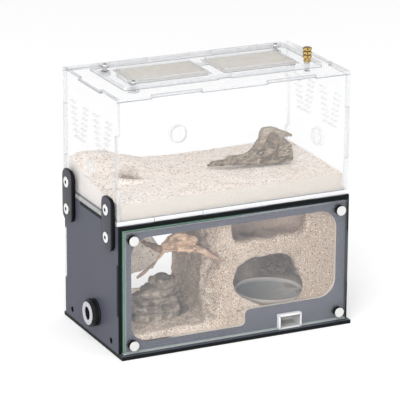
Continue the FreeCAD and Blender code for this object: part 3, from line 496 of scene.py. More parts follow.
def castCement(name):
    # sand and cement cast: beige and strongly granular, dark grey inside its chambers where it is damp and has painted
    # shade, with painted shade in its cavern, on its bank and in its recess, and painted light on its lobe
    paint = castPaint
    finish = Finish(name, rough=0.95, specular=0.12)
    x, y, z = finish.axes()
    big, blotch, grain = finish.clouds(34, 5), finish.clouds(6, 5, 0.7), finish.clouds(1.05, 3, 0.75)
    mottle = finish.clouds(7, 5, 0.7)
    inside = y.frayed(finish.clouds(15), x.drop(-14, -6) * 20).step(-46, -36) * y.drop(46, 49)
    chamber = inside * x.step(-7, -1)
    cavern = (inside - chamber) * y.drop(12, 20)
    outside = 1 - chamber
    lobe = y.band(14, 20, 46, 49) * x.drop(-30, -24)
    foot = z.drop(14, 19) * x.drop(-20, 0)
    speckled = x.frayed(grain, 34).drop(-20, -6) * z.step(20, 30) * (1 - foot) * outside * (1 - lobe)
    # painted shade on the bank at the cavern's right, soft at its border
    across, up = (x + 10) / 17, (z - 62) / 22
    bankShade = (across * across + up * up).frayed(blotch, 1.4).drop(0.2, 1.1) * outside
    low = cavern * z.band(13, 18, 34, 54)
    rubble = x.frayed(blotch, 16).drop(-17, -12) * z.band(14, 20, 38, 46) * x.step(-40, -32) * outside
    patch = x.frayed(blotch, 14).band(39, 43, 70, 75) * z.frayed(blotch, 10).step(31, 36) * z.drop(58, 62) * chamber
    dusty = chamber * z.drop(20, 31) * x.drop(46, 62)
    recess = chamber * z.step(74, 80)
    base = finish.layers(
        finish.mix(big.step(0.35, 0.68), *paint["ground"]),
        (x.step(0, 70) * 0.75, paint["right"]),
        # painted light on the lobe: near white below, mauve towards its top
        (lobe, finish.mix(z.step(80, 96), *paint["lobe"])),
        # painted shade inside the cavern
        (cavern * z.step(13, 18) * (0.2 + 0.3 * big.step(0.4, 0.6)), paint["hollow"]),
        (foot * 0.7, paint["foot"]),
        (speckled * 0.45, paint["speckled"]),
        (bankShade * 0.5, paint["bankShade"]),
        (cavern.most(lobe * 0.5) * mottle.step(0.50, 0.58) * 0.5, paint["mottle"]),
        (cavern * (1 - mottle).step(0.50, 0.58) * 0.6, paint["chalk"]),
        (low * (0.35 + 0.5 * big.step(0.45, 0.6)), paint["low"]),
        (rubble * 0.6, finish.mix(finish.clouds(9, 5, 0.65).step(0.44, 0.56), *paint["rubble"])),
        # dark grey in the chamber: damp cement with painted shade
        (chamber * 0.9, finish.mix(big.step(0.45, 0.58), *paint["chamber"])),
        (patch * 0.95, paint["patch"]),
        (dusty * 0.75, paint["dust"]),
        # painted shade in the recess, darkest at its left
        (recess * 0.85, finish.mix(x.step(20, 56), *paint["recess"])),
        (blotch.step(0.42, 0.70) * (0.5 - lobe * 0.15), paint["blotch"]),
        (grain.step(0.46, 0.62) * (0.75 - chamber * 0.4 - lobe * 0.55), paint["darkGrain"]),
        ((1 - grain).step(0.52, 0.66) * (0.72 - chamber * 0.6), paint["paleGrain"]),
        (finish.specks(2.2, 0.14, 0.40, 0.56, 0.70) * (0.85 - chamber * 0.4), paint["darkSpeck"]),
        (finish.specks(1.7, 0.14, 0.36, 0.55, 0.75) * (0.7 - chamber * 0.6), paint["paleSpeck"]),
    )
    # the lobe also glows faintly, as painted light
    finish.set(color=base, glow=finish.mix(lobe, (0, 0, 0), paint["lobePaintedLight"]), glowStrength=1.0)
    finish.bump((blotch, 1.6, 0.6), (grain, 0.8, 0.8))
    return finish.material


dishPaint = {
    "bowl": ((0.165, 0.178, 0.178), (0.34, 0.325, 0.30)), "sweep": (0.45, 0.43, 0.40), "dampAndShade": (0.24, 0.23, 0.22),
    "wall": ((0.42, 0.40, 0.37), (0.54, 0.51, 0.475)), "lip": ((0.50, 0.44, 0.385), (0.66, 0.59, 0.52)),
}


def dishCement(name):
    # trowelled smooth cement: painted shade makes it grey at the far left and paler towards the near right, with damp
    # patches and a pale wall round it
    paint = dishPaint
    finish = Finish(name)
    x, y = finish.axes("XY")
    dampAndShade, pores = finish.clouds(24), finish.clouds(0.7, 2)
    sweep = finish.clouds(3.2, 3, vector=finish.stretched((0.12, 1, 1)))
    # painted shade: the bowl is dark grey at the far left and paler towards the near right
    near = (x - y).step(44, 100)
    finish.set(color=finish.layers(
        finish.mix(near, *paint["bowl"]),
        (sweep.step(0.48, 0.62) * near * 0.35, paint["sweep"]),
        (dampAndShade.step(0.4, 0.7) * 0.3, paint["dampAndShade"]),
        (finish.attribute("wall"), finish.mix(dampAndShade, *paint["wall"])),
        (finish.attribute("lip"), finish.mix(pores, *paint["lip"])),
    ))
    finish.set(rough=0.65 + pores * 0.25)
    finish.bump((pores, 0.15, 0.5))
    return finish.material


sandPaint = {
    "top": ((0.97, 0.88, 0.80), (1.0, 0.945, 0.885)), "darkGrain": (0.72, 0.55, 0.45), "paleGrain": (0.99, 0.96, 0.92),
    "speck": (0.22, 0.16, 0.12), "rust": (0.42, 0.22, 0.12), "dampAndShade": (0.36, 0.27, 0.205),
    "side": ((0.60, 0.55, 0.49), (0.71, 0.66, 0.60)), "litLeftSide": ((0.86, 0.80, 0.755), (0.97, 0.93, 0.90)),
}


def drySand(name):
    # pale dry sand: cream grains with rust, brown and grey ones among them, brown painted shade round the pit of the
    # hole, and its sides painted darker in front and paler on the left
    paint = sandPaint
    finish = Finish(name, rough=0.95, specular=0.1)
    grain = finish.clouds(1.9, 4, 0.75)
    top = finish.facing("Z", 0.25, 0.7)
    # painted light and shade on the sides: the front side darker, the left side paler
    side = finish.mix(
        finish.facing("X", 0.6, 0.9), finish.mix(grain, *paint["side"]), finish.mix(grain, *paint["litLeftSide"]),
    )
    upper = finish.layers(
        finish.mix(finish.clouds(48).step(0.35, 0.7), *paint["top"]),
        (grain.step(0.50, 0.60) * 0.8, paint["darkGrain"]),
        ((1 - grain).step(0.54, 0.70) * 0.6, paint["paleGrain"]),
        (finish.specks(2.6, 0.12, 0.34, 0.52, 0.62) * top * 0.85, paint["speck"]),
        (finish.specks(3.6, 0.10, 0.30, 0.62, 0.68) * top * 0.8, paint["rust"]),
    )
    # brown painted shade on the pit's far wall round the hole
    dampAndShade = finish.attribute("dampAndShade") * (0.55 + 0.45 * grain.step(0.35, 0.6))
    finish.set(color=finish.mix(dampAndShade * 0.85, finish.mix(top, side, upper), paint["dampAndShade"]))
    finish.bump((finish.clouds(3.2), 0.8, 0.5), (grain, 0.6, 0.7))
    return finish.material


woodPaint = {
    "driftwoodGrain": {
        "ridge": (0.72, 0.635, 0.515), "body": (0.31, 0.25, 0.182), "hollow": (0.085, 0.062, 0.043),
        "pink": (0.40, 0.31, 0.235), "stretch": (0.35, 1.0, 1.0),
    },
    "rootGrain": {
        "ridge": (0.86, 0.63, 0.45), "body": (0.72, 0.475, 0.32), "hollow": (0.22, 0.14, 0.10),
        "pink": (0.50, 0.36, 0.30), "stretch": (0.3, 1.0, 1.0), "twig": (0.34, 0.25, 0.20), "dusty": (0.56, 0.42, 0.33),
    },
}


def weatheredWood(name):
    # dry wood with long grain in pale and dark streaks, painted highlight on its raised ridges and painted shade in its
    # sunk hollows
    paint = woodPaint[name]
    ridge, hollow = paint["ridge"], paint["hollow"]
    finish = Finish(name, rough=0.9, specular=0.2)
    x, z = finish.axes("XZ")
    along = finish.stretched(paint["stretch"])
    grain, fine = finish.clouds(3.4, 6, 0.7, along, 0.4), finish.clouds(1.3, 4, 0.7, along)
    relief = finish.attribute("relief")
    color = finish.layers(
        finish.mix(grain.step(0.38, 0.56), hollow, paint["body"]),
        (finish.clouds(11).step(0.5, 0.7) * 0.6, paint["pink"]),
        (fine.step(0.46, 0.66) * 0.6, hollow),
        ((1 - fine).step(0.52, 0.66) * 0.5, ridge),
        # painted highlight on the raised parts and painted shade in the sunk ones
        (relief.step(0.55, 0.85) * 0.75, ridge),
        ((1 - relief).step(0.6, 0.85) * 0.7, hollow),
    )
    if "twig" in paint:  # the thin end is grey brown, and the end that lies on the cast is dusty
        color = finish.layers(
            color,
            (x.drop(-60, -50) * 0.85, finish.mix(grain, hollow, paint["twig"])),
            (x.step(-34, -16) * 0.65, finish.mix(fine, hollow, paint["dusty"])),
        )
    else:  # the upright end is paler towards its top
        color = finish.mix(z.step(140, 162) * (0.25 + 0.45 * (1 - grain).step(0.4, 0.7)), color, ridge)
    finish.set(color=color)
    finish.bump((grain, 1.6, 0.8), (fine, 0.5, 0.8))
    return finish.material


rockPaint = {
    "beds": ((0.112, 0.092, 0.072), (0.265, 0.222, 0.176)), "pink": (0.27, 0.205, 0.17), "fine": (0.12, 0.095, 0.075),
    "edge": (0.56, 0.49, 0.405), "crack": (0.060, 0.048, 0.038), "deepCrack": (0.070, 0.055, 0.044),
}


def bakedRock(name):
    # layered stone, split along its bedding, with painted highlight on its raised edges and painted shade in its cracks
    paint = rockPaint
    finish = Finish(name, rough=0.9, specular=0.25)
    beds = finish.clouds(4.5, 5, 0.7, finish.stretched((0.6, 0.6, 1.7)), 0.5)
    fine = finish.clouds(0.9, 3)
    relief = finish.attribute("relief")
    crack = (1 - relief).step(0.56, 0.80)
    finish.set(color=finish.layers(
        finish.mix(beds.step(0.38, 0.62), *paint["beds"]),
        (finish.clouds(9, 5).step(0.48, 0.62) * 0.6, paint["pink"]),
        (fine.step(0.5, 0.7) * 0.35, paint["fine"]),
        # painted highlight on the raised edges, and painted shade in the cracks
        (relief.step(0.54, 0.80) * 0.6, paint["edge"]),
        (crack * 0.35, paint["crack"]),
        (crack * 0.85, paint["deepCrack"]),
    ))
    finish.bump((beds, 1.2, 0.8), (fine, 0.4, 0.6))
    return finish.material


def pebbleStone(name):
    # each pebble takes one colour from cream to rust and dark grey
    finish = Finish(name, rough=0.85)
    pick, fine = finish.clouds(5, 1), finish.clouds(0.5, 2)
    finish.set(color=finish.mix(fine, finish.ramp(pick, [
        (0.30, (0.28, 0.21, 0.16)), (0.42, (0.62, 0.48, 0.36)), (0.55, (0.80, 0.72, 0.62)), (0.70, (0.40, 0.36, 0.33)),
    ]), (0.70, 0.62, 0.54)))
    finish.bump((fine, 0.1, 0.4))
    return finish.material


def wovenWire(name):
    finish = Finish(name, metal=0.7)
    tarnish = finish.clouds(7)
    finish.set(color=finish.mix(tarnish, (0.55, 0.53, 0.49), (0.72, 0.70, 0.66)), rough=0.38 + tarnish * 0.15)
    finish.bump((finish.clouds(0.5, 2), 0.02, 0.3))
    return finish.material


materials = {
    **{"clear" + axis: clearSheet("clearSheet" + axis, axis) for axis in "XYZ"},
    "backPane": clearSheet("backPane", "Y", 0.006),
    "shadedTube": shadedTube("shadedTube"),
    **{"black" + axis: blackSheet("blackSheet" + axis, axis) for axis in "XYZ"},
    "glass": glassPane("floatGlass"),
    "satinBlack": mouldedPlastic("satinBlack", (0.004, 0.004, 0.005), (0.010, 0.010, 0.012), 0.5, 0.05),
    "link": linkSheet("linkSheet"),
    "inlet": inletPlastic("inletPlastic"),
    "lilac": mouldedPlastic("lilacPlastic", (0.50, 0.49, 0.54), (0.62, 0.61, 0.66), 0.25),
    "charcoal": mouldedPlastic("charcoalPlastic", (0.008, 0.008, 0.010), (0.020, 0.020, 0.024), 0.42, 0.12),
    "plug": plugPlastic("plugPlastic"),
    "steel": turnedMetal("polishedSteel", (0.78, 0.78, 0.78), (0.90, 0.90, 0.90), 0.20),
    "darkSteel": turnedMetal("darkSteel", (0.30, 0.30, 0.31), (0.52, 0.52, 0.53), 0.20),
    "lidSteel": turnedMetal("lidSteel", (0.48, 0.48, 0.49), (0.74, 0.74, 0.75), 0.14),
    "capSteel": turnedMetal("capSteel", (0.70, 0.70, 0.68), (0.80, 0.80, 0.78), 0.30),
    "brass": turnedMetal("turnedBrass", (0.30, 0.17, 0.035), (0.90, 0.70, 0.30), 0.12, 0.8),
    "wire": wovenWire("wovenWire"),
    "cement": castCement("castCement"),
    "dish": dishCement("dishCement"),
    "sand": drySand("drySand"),
    "pebble": pebbleStone("pebbleStone"),
    "rock": bakedRock("beddedStone"),
    "wood": weatheredWood("driftwoodGrain"),
    "root": weatheredWood("rootGrain"),
}
nodeFinish = {
    "clearX": ["tank_left_wall", "tank_right_wall"],
    "clearY": ["tank_front_wall", "tank_back_wall"],
    "backPane": ["nest_back_wall"],
    "clearZ": ["tank_top_panel", "tank_floor", "lid_lower_frame", "lid_upper_frame"],
    "shadedTube": ["passage_tube"],
    "blackX": ["nest_left_wall", "nest_right_wall"],
    "blackY": ["nest_front_panel"],
    "blackZ": ["nest_top_panel", "base_plate"],
    "glass": ["front_glass"],
    "steel": ["thumb_stud", "stud_nut", "knob_inserts"],
    "darkSteel": ["lid_nuts", "bracket_nuts"],
    "charcoal": ["tube_port_nut"],
}
for key, nodes in nodeFinish.items():
    for node in nodes:
        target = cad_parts[node]
        target.data.materials.clear()
        target.data.materials.append(materials[key])


def clamp(value, low=0.0, high=1.0):
    return min(high, max(low, value))


def fade(distance):  # 1 at no distance, falling off as a bell
    return math.exp(-distance ** 2)


def vertsAmong(geom):  # the vertices in what a bmesh operator gives back
    return [part for part in geom if isinstance(part, bmesh.types.BMVert)]


def edgesAmong(edges, verts):  # the edges with both ends among the vertices
    return [edge for edge in edges if all(vert in verts for vert in edge.verts)]


def sharpen(body, angle):  # smooth shading, with creases kept at the steep edges
    limit = math.radians(angle)
    for face in body.faces:
        face.smooth = True
    for edge in body.edges:
        edge.smooth = len(edge.link_faces) == 2 and edge.calc_face_angle(0) < limit


weld = {"piece": 0.002, "node": 0.004}  # vertices closer than this become one, in millimetres


def addPiece(name, body, material, rides="case", stands=(), crease=30):
    # a finished bmesh becomes one object, which rides on a body and may stand for CAD nodes
    bmesh.ops.remove_doubles(body, verts=body.verts[:], dist=weld["piece"] * mm)
    bmesh.ops.recalc_face_normals(body, faces=body.faces[:])
    sharpen(body, crease)
    mesh = bpy.data.meshes.new(name)
    body.to_mesh(mesh)
    body.free()
    mesh.materials.append(materials[material])
    piece = bpy.data.objects.new(name, mesh)
    scene.collection.objects.link(piece)
    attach(piece, rides)
    if stands:
        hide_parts(*stands)


def merge(body, fresh):  # adds a bmesh to the body and frees it
    carrier = bpy.data.meshes.new("carrier")
    fresh.to_mesh(carrier)
    fresh.free()
    body.from_mesh(carrier)
    bpy.data.meshes.remove(carrier)


def relax(body, verts, factor, times=1, upOnly=False):  # moves each vertex towards its neighbours
    for turn in range(times):
        bmesh.ops.smooth_vert(
            body, verts=verts, factor=factor, use_axis_x=not upOnly, use_axis_y=not upOnly, use_axis_z=True,
        )


def aim(place, axis):  # a frame whose Z points along the axis
    turn = Vector(axis).to_track_quat("Z", "Y").to_matrix().to_4x4()
    return Matrix.Translation(place) @ turn


def lathe(body, profile, place, axis, steps=40):
    # profile: (height along the axis, radius) in millimetres, spun a full turn
    fresh = bmesh.new()
    verts = [fresh.verts.new((radius * mm, 0, height * mm)) for height, radius in profile]
    edges = [fresh.edges.new(pair) for pair in zip(verts, verts[1:])]
    bmesh.ops.spin(
        fresh, geom=verts + edges, cent=(0, 0, 0), axis=(0, 0, 1), dvec=(0, 0, 0),
        angle=math.tau, steps=steps, use_merge=True,
    )
    bmesh.ops.remove_doubles(fresh, verts=fresh.verts[:], dist=weld["piece"] * mm)
    bmesh.ops.recalc_face_normals(fresh, faces=fresh.faces[:])
    bmesh.ops.transform(fresh, matrix=aim(place, axis), verts=fresh.verts[:])
    merge(body, fresh)


def block(low, high, corner, along, edge, cornerSteps=8):
    # box whose four edges along one axis are rounded by corner, and the rims at that axis's ends by edge
    fresh = bmesh.new()
    low, high = Vector(low), Vector(high)
    size = high - low
    bmesh.ops.create_cube(fresh, size=1)
    bmesh.ops.scale(fresh, vec=size * mm, verts=fresh.verts[:])
    bmesh.ops.translate(fresh, vec=(low + high) / 2 * mm, verts=fresh.verts[:])
    axis = "XYZ".index(along)
    upright = [e for e in fresh.edges if abs((e.verts[0].co - e.verts[1].co)[axis]) > size[axis] * mm * 0.9]
    bmesh.ops.bevel(
        fresh, geom=upright, offset=corner * mm, affect="EDGES", segments=cornerSteps, profile=0.5, material=-1,
    )
    rims = [
        e for e in fresh.edges
        if any(all(abs(v.co[axis] - end[axis] * mm) < 1e-6 for v in e.verts) for end in (low, high))
        and e.calc_face_angle(0) > 0.5
    ]
    bmesh.ops.bevel(fresh, geom=rims, offset=edge * mm, affect="EDGES", segments=3, profile=0.5, material=-1)
    return fresh


def remeshed(body, voxel):
    # one closed skin round everything that the bmesh holds
    mesh = bpy.data.meshes.new("remeshed")
    body.to_mesh(mesh)
    body.free()
    carrier = bpy.data.objects.new("remeshed", mesh)
    scene.collection.objects.link(carrier)
    skin = carrier.modifiers.new("skin", "REMESH")
    skin.mode = "VOXEL"
    skin.voxel_size = voxel * mm
    bpy.context.view_layer.update()
    depsgraph = bpy.context.evaluated_depsgraph_get()
    result = bmesh.new()
    result.from_object(carrier, depsgraph)
    bpy.data.objects.remove(carrier)
    bpy.data.meshes.remove(mesh)
    return result


ridges = {"dimension": 0.9, "finer": 2.1, "octaves": 4, "offset": 1.0, "gain": 2.0, "highest": 2.2}


def ridged(place, size, stretch):  # 0 in the valleys and 1 on the ridges
    point = Vector([place[i] / stretch[i] for i in range(3)]) / (size * mm)
    return noise.ridged_multi_fractal(
        point, ridges["dimension"], ridges["finer"], ridges["octaves"], ridges["offset"], ridges["gain"],
        noise_basis="PERLIN_ORIGINAL",
    ) / ridges["highest"]


def lumpy(place, size, octaves=3, seed=0.0):  # -1 to 1, in soft lumps about size millimetres wide
    return noise.fractal(place / (size * mm) + Vector((seed, seed, seed)), 1.0, 2.0, octaves)


def carve(body, push):
    # moves every vertex along its normal by push(place, normal) millimetres and keeps how far, as relief
    body.normal_update()
    layer = body.verts.layers.float.new("relief")
    moves = [(vert, vert.normal.copy(), push(vert.co, vert.normal)) for vert in body.verts]
    reach = max(abs(amount) for vert, normal, amount in moves) or 1
    for vert, normal, amount in moves:
        vert[layer] = 0.5 + 0.5 * amount / reach
        vert.co += normal * (amount * mm)


def nodeCopy(*nodes):  # the CAD nodes' own shape, as a bmesh
    body = bmesh.new()
    for node in nodes:
        body.from_mesh(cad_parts[node].data)
    bmesh.ops.remove_doubles(body, verts=body.verts[:], dist=weld["node"] * mm)
    return body


def nodeBox(*nodes):  # low and high corner of the box round the CAD nodes, in millimetres
    corners = [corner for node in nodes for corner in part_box(node)]
    low = Vector([min(corner[i] for corner in corners) for i in range(3)])
    high = Vector([max(corner[i] for corner in corners) for i in range(3)])
    return low / mm, high / mm


def limb(body, stations, turns=10):
    # tapered limb through (x, y, z, half width across, half height) stations in millimetres
    fresh = bmesh.new()
    rings = []
    for index, (x, y, z, wide, tall) in enumerate(stations):
        before = Vector(stations[max(index - 1, 0)][:3])
        after = Vector(stations[min(index + 1, len(stations) - 1)][:3])
        shape = Matrix.Diagonal((wide * mm, tall * mm, 1, 1))
        ring = bmesh.ops.create_circle(
            fresh, segments=turns, radius=1, cap_ends=index in (0, len(stations) - 1),
            matrix=limbFrame(Vector((x, y, z)) * mm, after - before) @ shape,
        )["verts"]
        rings.append({e for v in ring for e in v.link_edges if all(w in ring for w in e.verts)})
    for first, second in zip(rings, rings[1:]):
        bmesh.ops.bridge_loops(fresh, edges=list(first) + list(second))
    bmesh.ops.recalc_face_normals(fresh, faces=fresh.faces[:])
    merge(body, fresh)


def limbFrame(place, heading):  # Z along the limb, X level across it, Y upwards
    heading = heading.normalized()
    across = heading.cross(Vector((0, 0, 1)))
    across = across.normalized() if across.length > 0.05 else Vector((0, 1, 0))
    upward = across.cross(heading)
    frameMatrix = Matrix((across, upward, heading)).transposed().to_4x4()
    return Matrix.Translation(place) @ frameMatrix


print("cast burrow")

castSections = [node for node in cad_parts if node.startswith("cast_")]
castLook = {
    "voxel": 1.5, "lumps": 1.5, "lumpSize": 13, "grit": 0.55, "gritSize": 3.2, "rim": 1.6, "rounding": 5, "skin": 2.5,
    "chin": [(-41, 27, 42, 5, 5), (-36, 27, 49, 5, 5), (-36, 27, 57, 5, 5), (-40, 27, 66, 4, 4)],  # under the lobe
    "sill": [  # (x, z) along the ledge in front of the dish
        (-3.6, 52.4), (-1.6, 42), (1.8, 35.6), (9, 28.6), (16.4, 24.2), (24.6, 21), (35.5, 19.2), (46.2, 18.9),
        (53.9, 19.8), (60.2, 22.2), (65.6, 28.5), (67.5, 36),
    ],
    "sillPlace": -45.2, "sillDrops": (0, 4.5, 9), "sillShift": 0.3, "sillSize": (2.0, 3.2), "sillFoot": 16,
    "dishRoom": 1.05, "dishHeights": (-0.5, 16),
}
bankLook = {  # the wide round bank at the cavern's right
    "edge": -22, "slant": 0.139, "radius": 16, "frontDepth": 1.2, "wallDepth": 1.6,
    "low": (12, 22), "high": (89, 97),  # heights over which the rounding sets in and fades out
    "waves": [(64, 9), (40, -4), (88, 3)], "waveHeight": 10,  # (height, how far the edge is cut back to the right)
    "lumps": 4.2, "lumpSize": 10, "lumpMiddle": 7, "lumpReach": (11, 24),
}


def makeCast():
    low, high = nodeBox(*castSections)
    body = nodeCopy(*castSections)
    limb(body, castLook["chin"])
    for drop in castLook["sillDrops"]:
        limb(body, [
            (x + drop * castLook["sillShift"], castLook["sillPlace"], z - drop, *castLook["sillSize"])
            for x, z in castLook["sill"] if z > castLook["sillFoot"] + drop
        ])
    body = remeshed(body, castLook["voxel"])
    roundBank(body, low)
    clearDish(body)

    def depths(here):  # how far inside the six sides of the outer box, the front one last
        inside = [*(here - low), *(high - here)]
        return inside[:1] + inside[2:] + inside[1:2]

    soft = [v for v in body.verts if min(depths(v.co / mm)[:5]) > castLook["skin"]]
    relax(body, soft, 0.5, castLook["rounding"])  # rounds every edge that the chambers leave

    def push(place, normal):
        here = place / mm
        share = clamp(min(depths(here)) / castLook["rim"] - 0.3)
        lump = castLook["lumps"] * lumpy(place, castLook["lumpSize"])
        across = (here.x - bankLook["edge"] - bankLook["lumpMiddle"]) / bankLook["lumpReach"][0]
        bank = fade(across) * fade((here.y - low.y) / bankLook["lumpReach"][1])
        lump += bank * bankLook["lumps"] * lumpy(place, bankLook["lumpSize"], 3, 11.0)
        return share * (lump + castLook["grit"] * lumpy(place, castLook["gritSize"], 2, 7.0))

    carve(body, push)
    addPiece("cast_burrow", body, "cement", stands=castSections, crease=80)


dishLook = {
    "centre": (41.5, -27.7, 26.5), "long": (25.8, -9.15, -1.9), "short": (6.7, 13.2, 2.8),  # an oval, tipped forward
    "bowl": 3.2, "wall": 3.8, "thickness": 9.0, "lipFrom": 20, "lipWidth": 40, "lowest": 0.06, "tilt": 130,
}


def dishPlace():  # from hundredths of the dish's oval, and metres above it, to the part's own frame
    longAxis, shortAxis = Vector(dishLook["long"]), Vector(dishLook["short"])
    upward = longAxis.cross(shortAxis).normalized()
    turn = Matrix((longAxis / 100, shortAxis / 100, upward)).transposed().to_4x4()
    return Matrix.Translation(Vector(dishLook["centre"]) * mm) @ turn


def clearDish(body):
    # the chamber's wall stands round the dish and not across it
    place, room = dishPlace(), castLook["dishRoom"]
    back = place.inverted()
    below, above = castLook["dishHeights"]
    for vert in body.verts:
        local = back @ vert.co
        share = Vector((local.x, local.y)).length / (100 * mm)
        if 0.5 < share < room and below * mm < local.z < above * mm:
            local.x *= room / share
            local.y *= room / share
            vert.co = place @ local


def roundBank(body, low):
    # the cavern's right edge becomes a wide round bank: its two faces are laid on one arc
    look = bankLook
    radius, edge = look["radius"], look["edge"]
    for vert in body.verts:
        x, y, z = vert.co / mm
        across, back = x - edge, y - low.y
        if 0 <= across < radius and back < look["frontDepth"]:
            angle = math.pi / 4 * (1 + across / radius)
        elif abs(across - look["slant"] * back) < look["wallDepth"] and 0 <= back < radius:
            angle = math.pi / 4 * (1 - back / radius)
        else:
            continue
        (lowEnd, lowFull), (highFull, highEnd) = look["low"], look["high"]
        share = clamp((z - lowEnd) / (lowFull - lowEnd)) * clamp((highEnd - z) / (highEnd - highFull))
        goal = Vector((edge + radius * (1 - math.cos(angle)), low.y + radius * (1 - math.sin(angle)), z))
        wave = sum(reach * fade((z - level) / look["waveHeight"]) for level, reach in look["waves"])
        goal.x += wave * math.sin(angle * 2) ** 0.5 if 0 < angle < math.pi / 2 else 0
        vert.co = vert.co.lerp(goal * mm, share)


makeCast()

print("dish")


def makeDish():
    look = dishLook
    body = bmesh.new()
    wall, bowl = look["wall"], look["bowl"]
    lathe(body, [  # heights in millimetres and radii in hundredths of the oval
        (-bowl, 0), (-bowl, 40), (-bowl * 0.75, 66), (-bowl * 0.35, 84), (0, 94), (0.1, 96), (wall - 0.4, 97.5),
        (wall, 99), (wall, 101), (wall - 0.4, 102.5), (-2, 103), (-look["thickness"], 78), (-look["thickness"], 0),
    ], Vector(), (0, 0, 1), 72)
    rim, lip = body.verts.layers.float.new("wall"), body.verts.layers.float.new("lip")
    for vert in body.verts:
        vert[rim] = clamp((vert.co.z / mm - 0.2) / 0.6)
        near = clamp((-vert.co.y / mm - look["lipFrom"]) / look["lipWidth"])
        vert[lip] = near * clamp((vert.co.xy.length / mm - 82) / 8)
        if vert.co.z > 0:  # the wall stands up behind the bowl and runs out in front of it
            vert.co.z *= clamp(0.45 + vert.co.y / (look["tilt"] * mm), look["lowest"])
    bmesh.ops.transform(body, matrix=dishPlace(), verts=body.verts[:])
    addPiece("dish", body, "dish", stands=["chamber_dish"], crease=38)


makeDish()

print("sand")

sandLook = {
    "columns": 150, "rows": 78, "inset": 0.01, "border": 4, "ripple": 0.9, "rippleSize": 15, "grit": 0.35,
    "gritSize": 2.6, "least": 8, "pitRadius": 15, "pitDepth": 2.4, "clearance": 0.4, "open": 0.82, "rimAway": 1.2,
    "lip": 3.6, "lipWay": (-0.43, -0.9), "lipAway": 2.5, "lipWidth": 4,  # the rim of dug sand at the pit's near side
    "pitShade": 1.15, "pitShadeWidth": 5, "pitShadeFray": 0.35,  # brown painted shade round the hole
    "trail": (7, 11), "trailShade": 0.75, "trailWidth": 13, "trailFray": 0.3,  # and at a place beside it
    "pebbles": 620, "pebbleSize": (0.35, 0.85), "pebbleFlat": 0.6, "pebbleTilt": 0.5, "pebbleRise": 0.1,
    "margin": 1.5, "seed": 4,
}


def sandSurface():
    # reads the height of the CAD bed's own surface from above
    body = nodeCopy("sand_bed")
    tree = BVHTree.FromBMesh(body)
    body.free()
    start = nodeBox("sand_bed")[1].z + 20

    def height(x, y):
        spot = tree.ray_cast(Vector((x, y, start * mm)), Vector((0, 0, -1)))[0]
        return spot.z if spot else None

    return height


def makeSand():
    look = sandLook
    low, high = nodeBox("sand_bed")
    surface = sandSurface()
    holeLow, holeHigh = nodeBox("passage_tube")
    hole = ((holeLow + holeHigh) / 2).xy
    radius = (holeHigh.x - holeLow.x) / 2 + look["clearance"]
    body = bmesh.new()
    bmesh.ops.create_grid(body, x_segments=look["columns"], y_segments=look["rows"], size=0.5)
    dampAndShade = body.verts.layers.float.new("dampAndShade")
    for vert in body.verts:
        for i in range(2):
            vert.co[i] = ((low[i] + high[i]) / 2 + vert.co[i] * (high[i] - low[i] - 2 * look["inset"])) * mm
    pit = []
    for vert in body.verts:
        away = vert.co.xy / mm - hole
        way = away.normalized() if away.length > 0.01 else Vector((0, 0))
        height = surface(vert.co.x * 0.999, vert.co.y * 0.999)
        if away.length < radius * look["open"]:
            pit.append(vert)
        if height is None or height < (low.z + look["least"]) * mm or away.length < radius:
            rim = hole + way * (radius + look["rimAway"])
            height = surface(rim.x * mm, rim.y * mm) or high.z * mm
        inside = min(min(vert.co[i] / mm - low[i], high[i] - vert.co[i] / mm) for i in range(2))
        border = min(inside / look["border"], 1)
        ripple = look["ripple"] * lumpy(vert.co, look["rippleSize"], 4)
        grit = look["grit"] * lumpy(vert.co, look["gritSize"], 2, 3.0)
        beyond = away.length - radius
        dip = look["pitDepth"] * clamp(1 - beyond / (look["pitRadius"] - radius)) ** 2
        lip = max(0, way.dot(Vector(look["lipWay"]))) * fade((beyond - look["lipAway"]) / look["lipWidth"])
        dip -= look["lip"] * lip
        # the attribute carries brown painted shade round the pit
        pitShade = look["pitShade"] - beyond / look["pitShadeWidth"] + look["pitShadeFray"] * lumpy(vert.co, 6, 3, 5.0)
        trail = look["trailShade"] - (away - Vector(look["trail"])).length / look["trailWidth"]
        trail += look["trailFray"] * lumpy(vert.co, 5, 3, 7.0)
        vert[dampAndShade] = clamp(max(pitShade, trail))
        vert.co.z = height + (ripple * (0.35 + 0.65 * border) + grit - dip) * mm
    relax(body, body.verts[:], 0.35, 2, upOnly=True)
    bmesh.ops.delete(body, geom=pit, context="VERTS")
    skirt = bmesh.ops.extrude_edge_only(body, edges=[e for e in body.edges if e.is_boundary])["geom"]
    for vert in vertsAmong(skirt):
        vert.co.z = low.z * mm
    bmesh.ops.triangle_fill(body, edges=[e for e in body.edges if e.is_boundary], use_beauty=True)
    addPiece("sand", body, "sand", stands=["sand_bed"], crease=60)
    scatterPebbles(surface, low, high, hole, radius)


def scatterPebbles(surface, low, high, hole, radius):
    look = sandLook
    chance = random.Random(look["seed"])
    smallest, spread = look["pebbleSize"]
    margin, flat, tilt = look["margin"], look["pebbleFlat"], look["pebbleTilt"]
    body = bmesh.new()
    for number in range(look["pebbles"]):
        x = chance.uniform(low.x + margin, high.x - margin)
        y = chance.uniform(low.y + margin, high.y - margin)
        if (Vector((x, y)) - hole).length < radius + margin:
            continue
        size = (smallest + spread * chance.random() ** 2) * mm
        turn = Matrix.Rotation(chance.uniform(0, math.tau), 4, "Z")
        turn = turn @ Matrix.Rotation(chance.uniform(-tilt, tilt), 4, "X")
        shape = Matrix.Diagonal((size, size * chance.uniform(flat, 1), size * flat, 1))
        place = Matrix.Translation((x * mm, y * mm, surface(x * mm, y * mm) + look["pebbleRise"] * size))
        bmesh.ops.create_icosphere(body, subdivisions=1, radius=1, matrix=place @ turn @ shape)
    addPiece("sand_pebbles", body, "pebble", crease=20)


makeSand()

print("wood, root and stones")

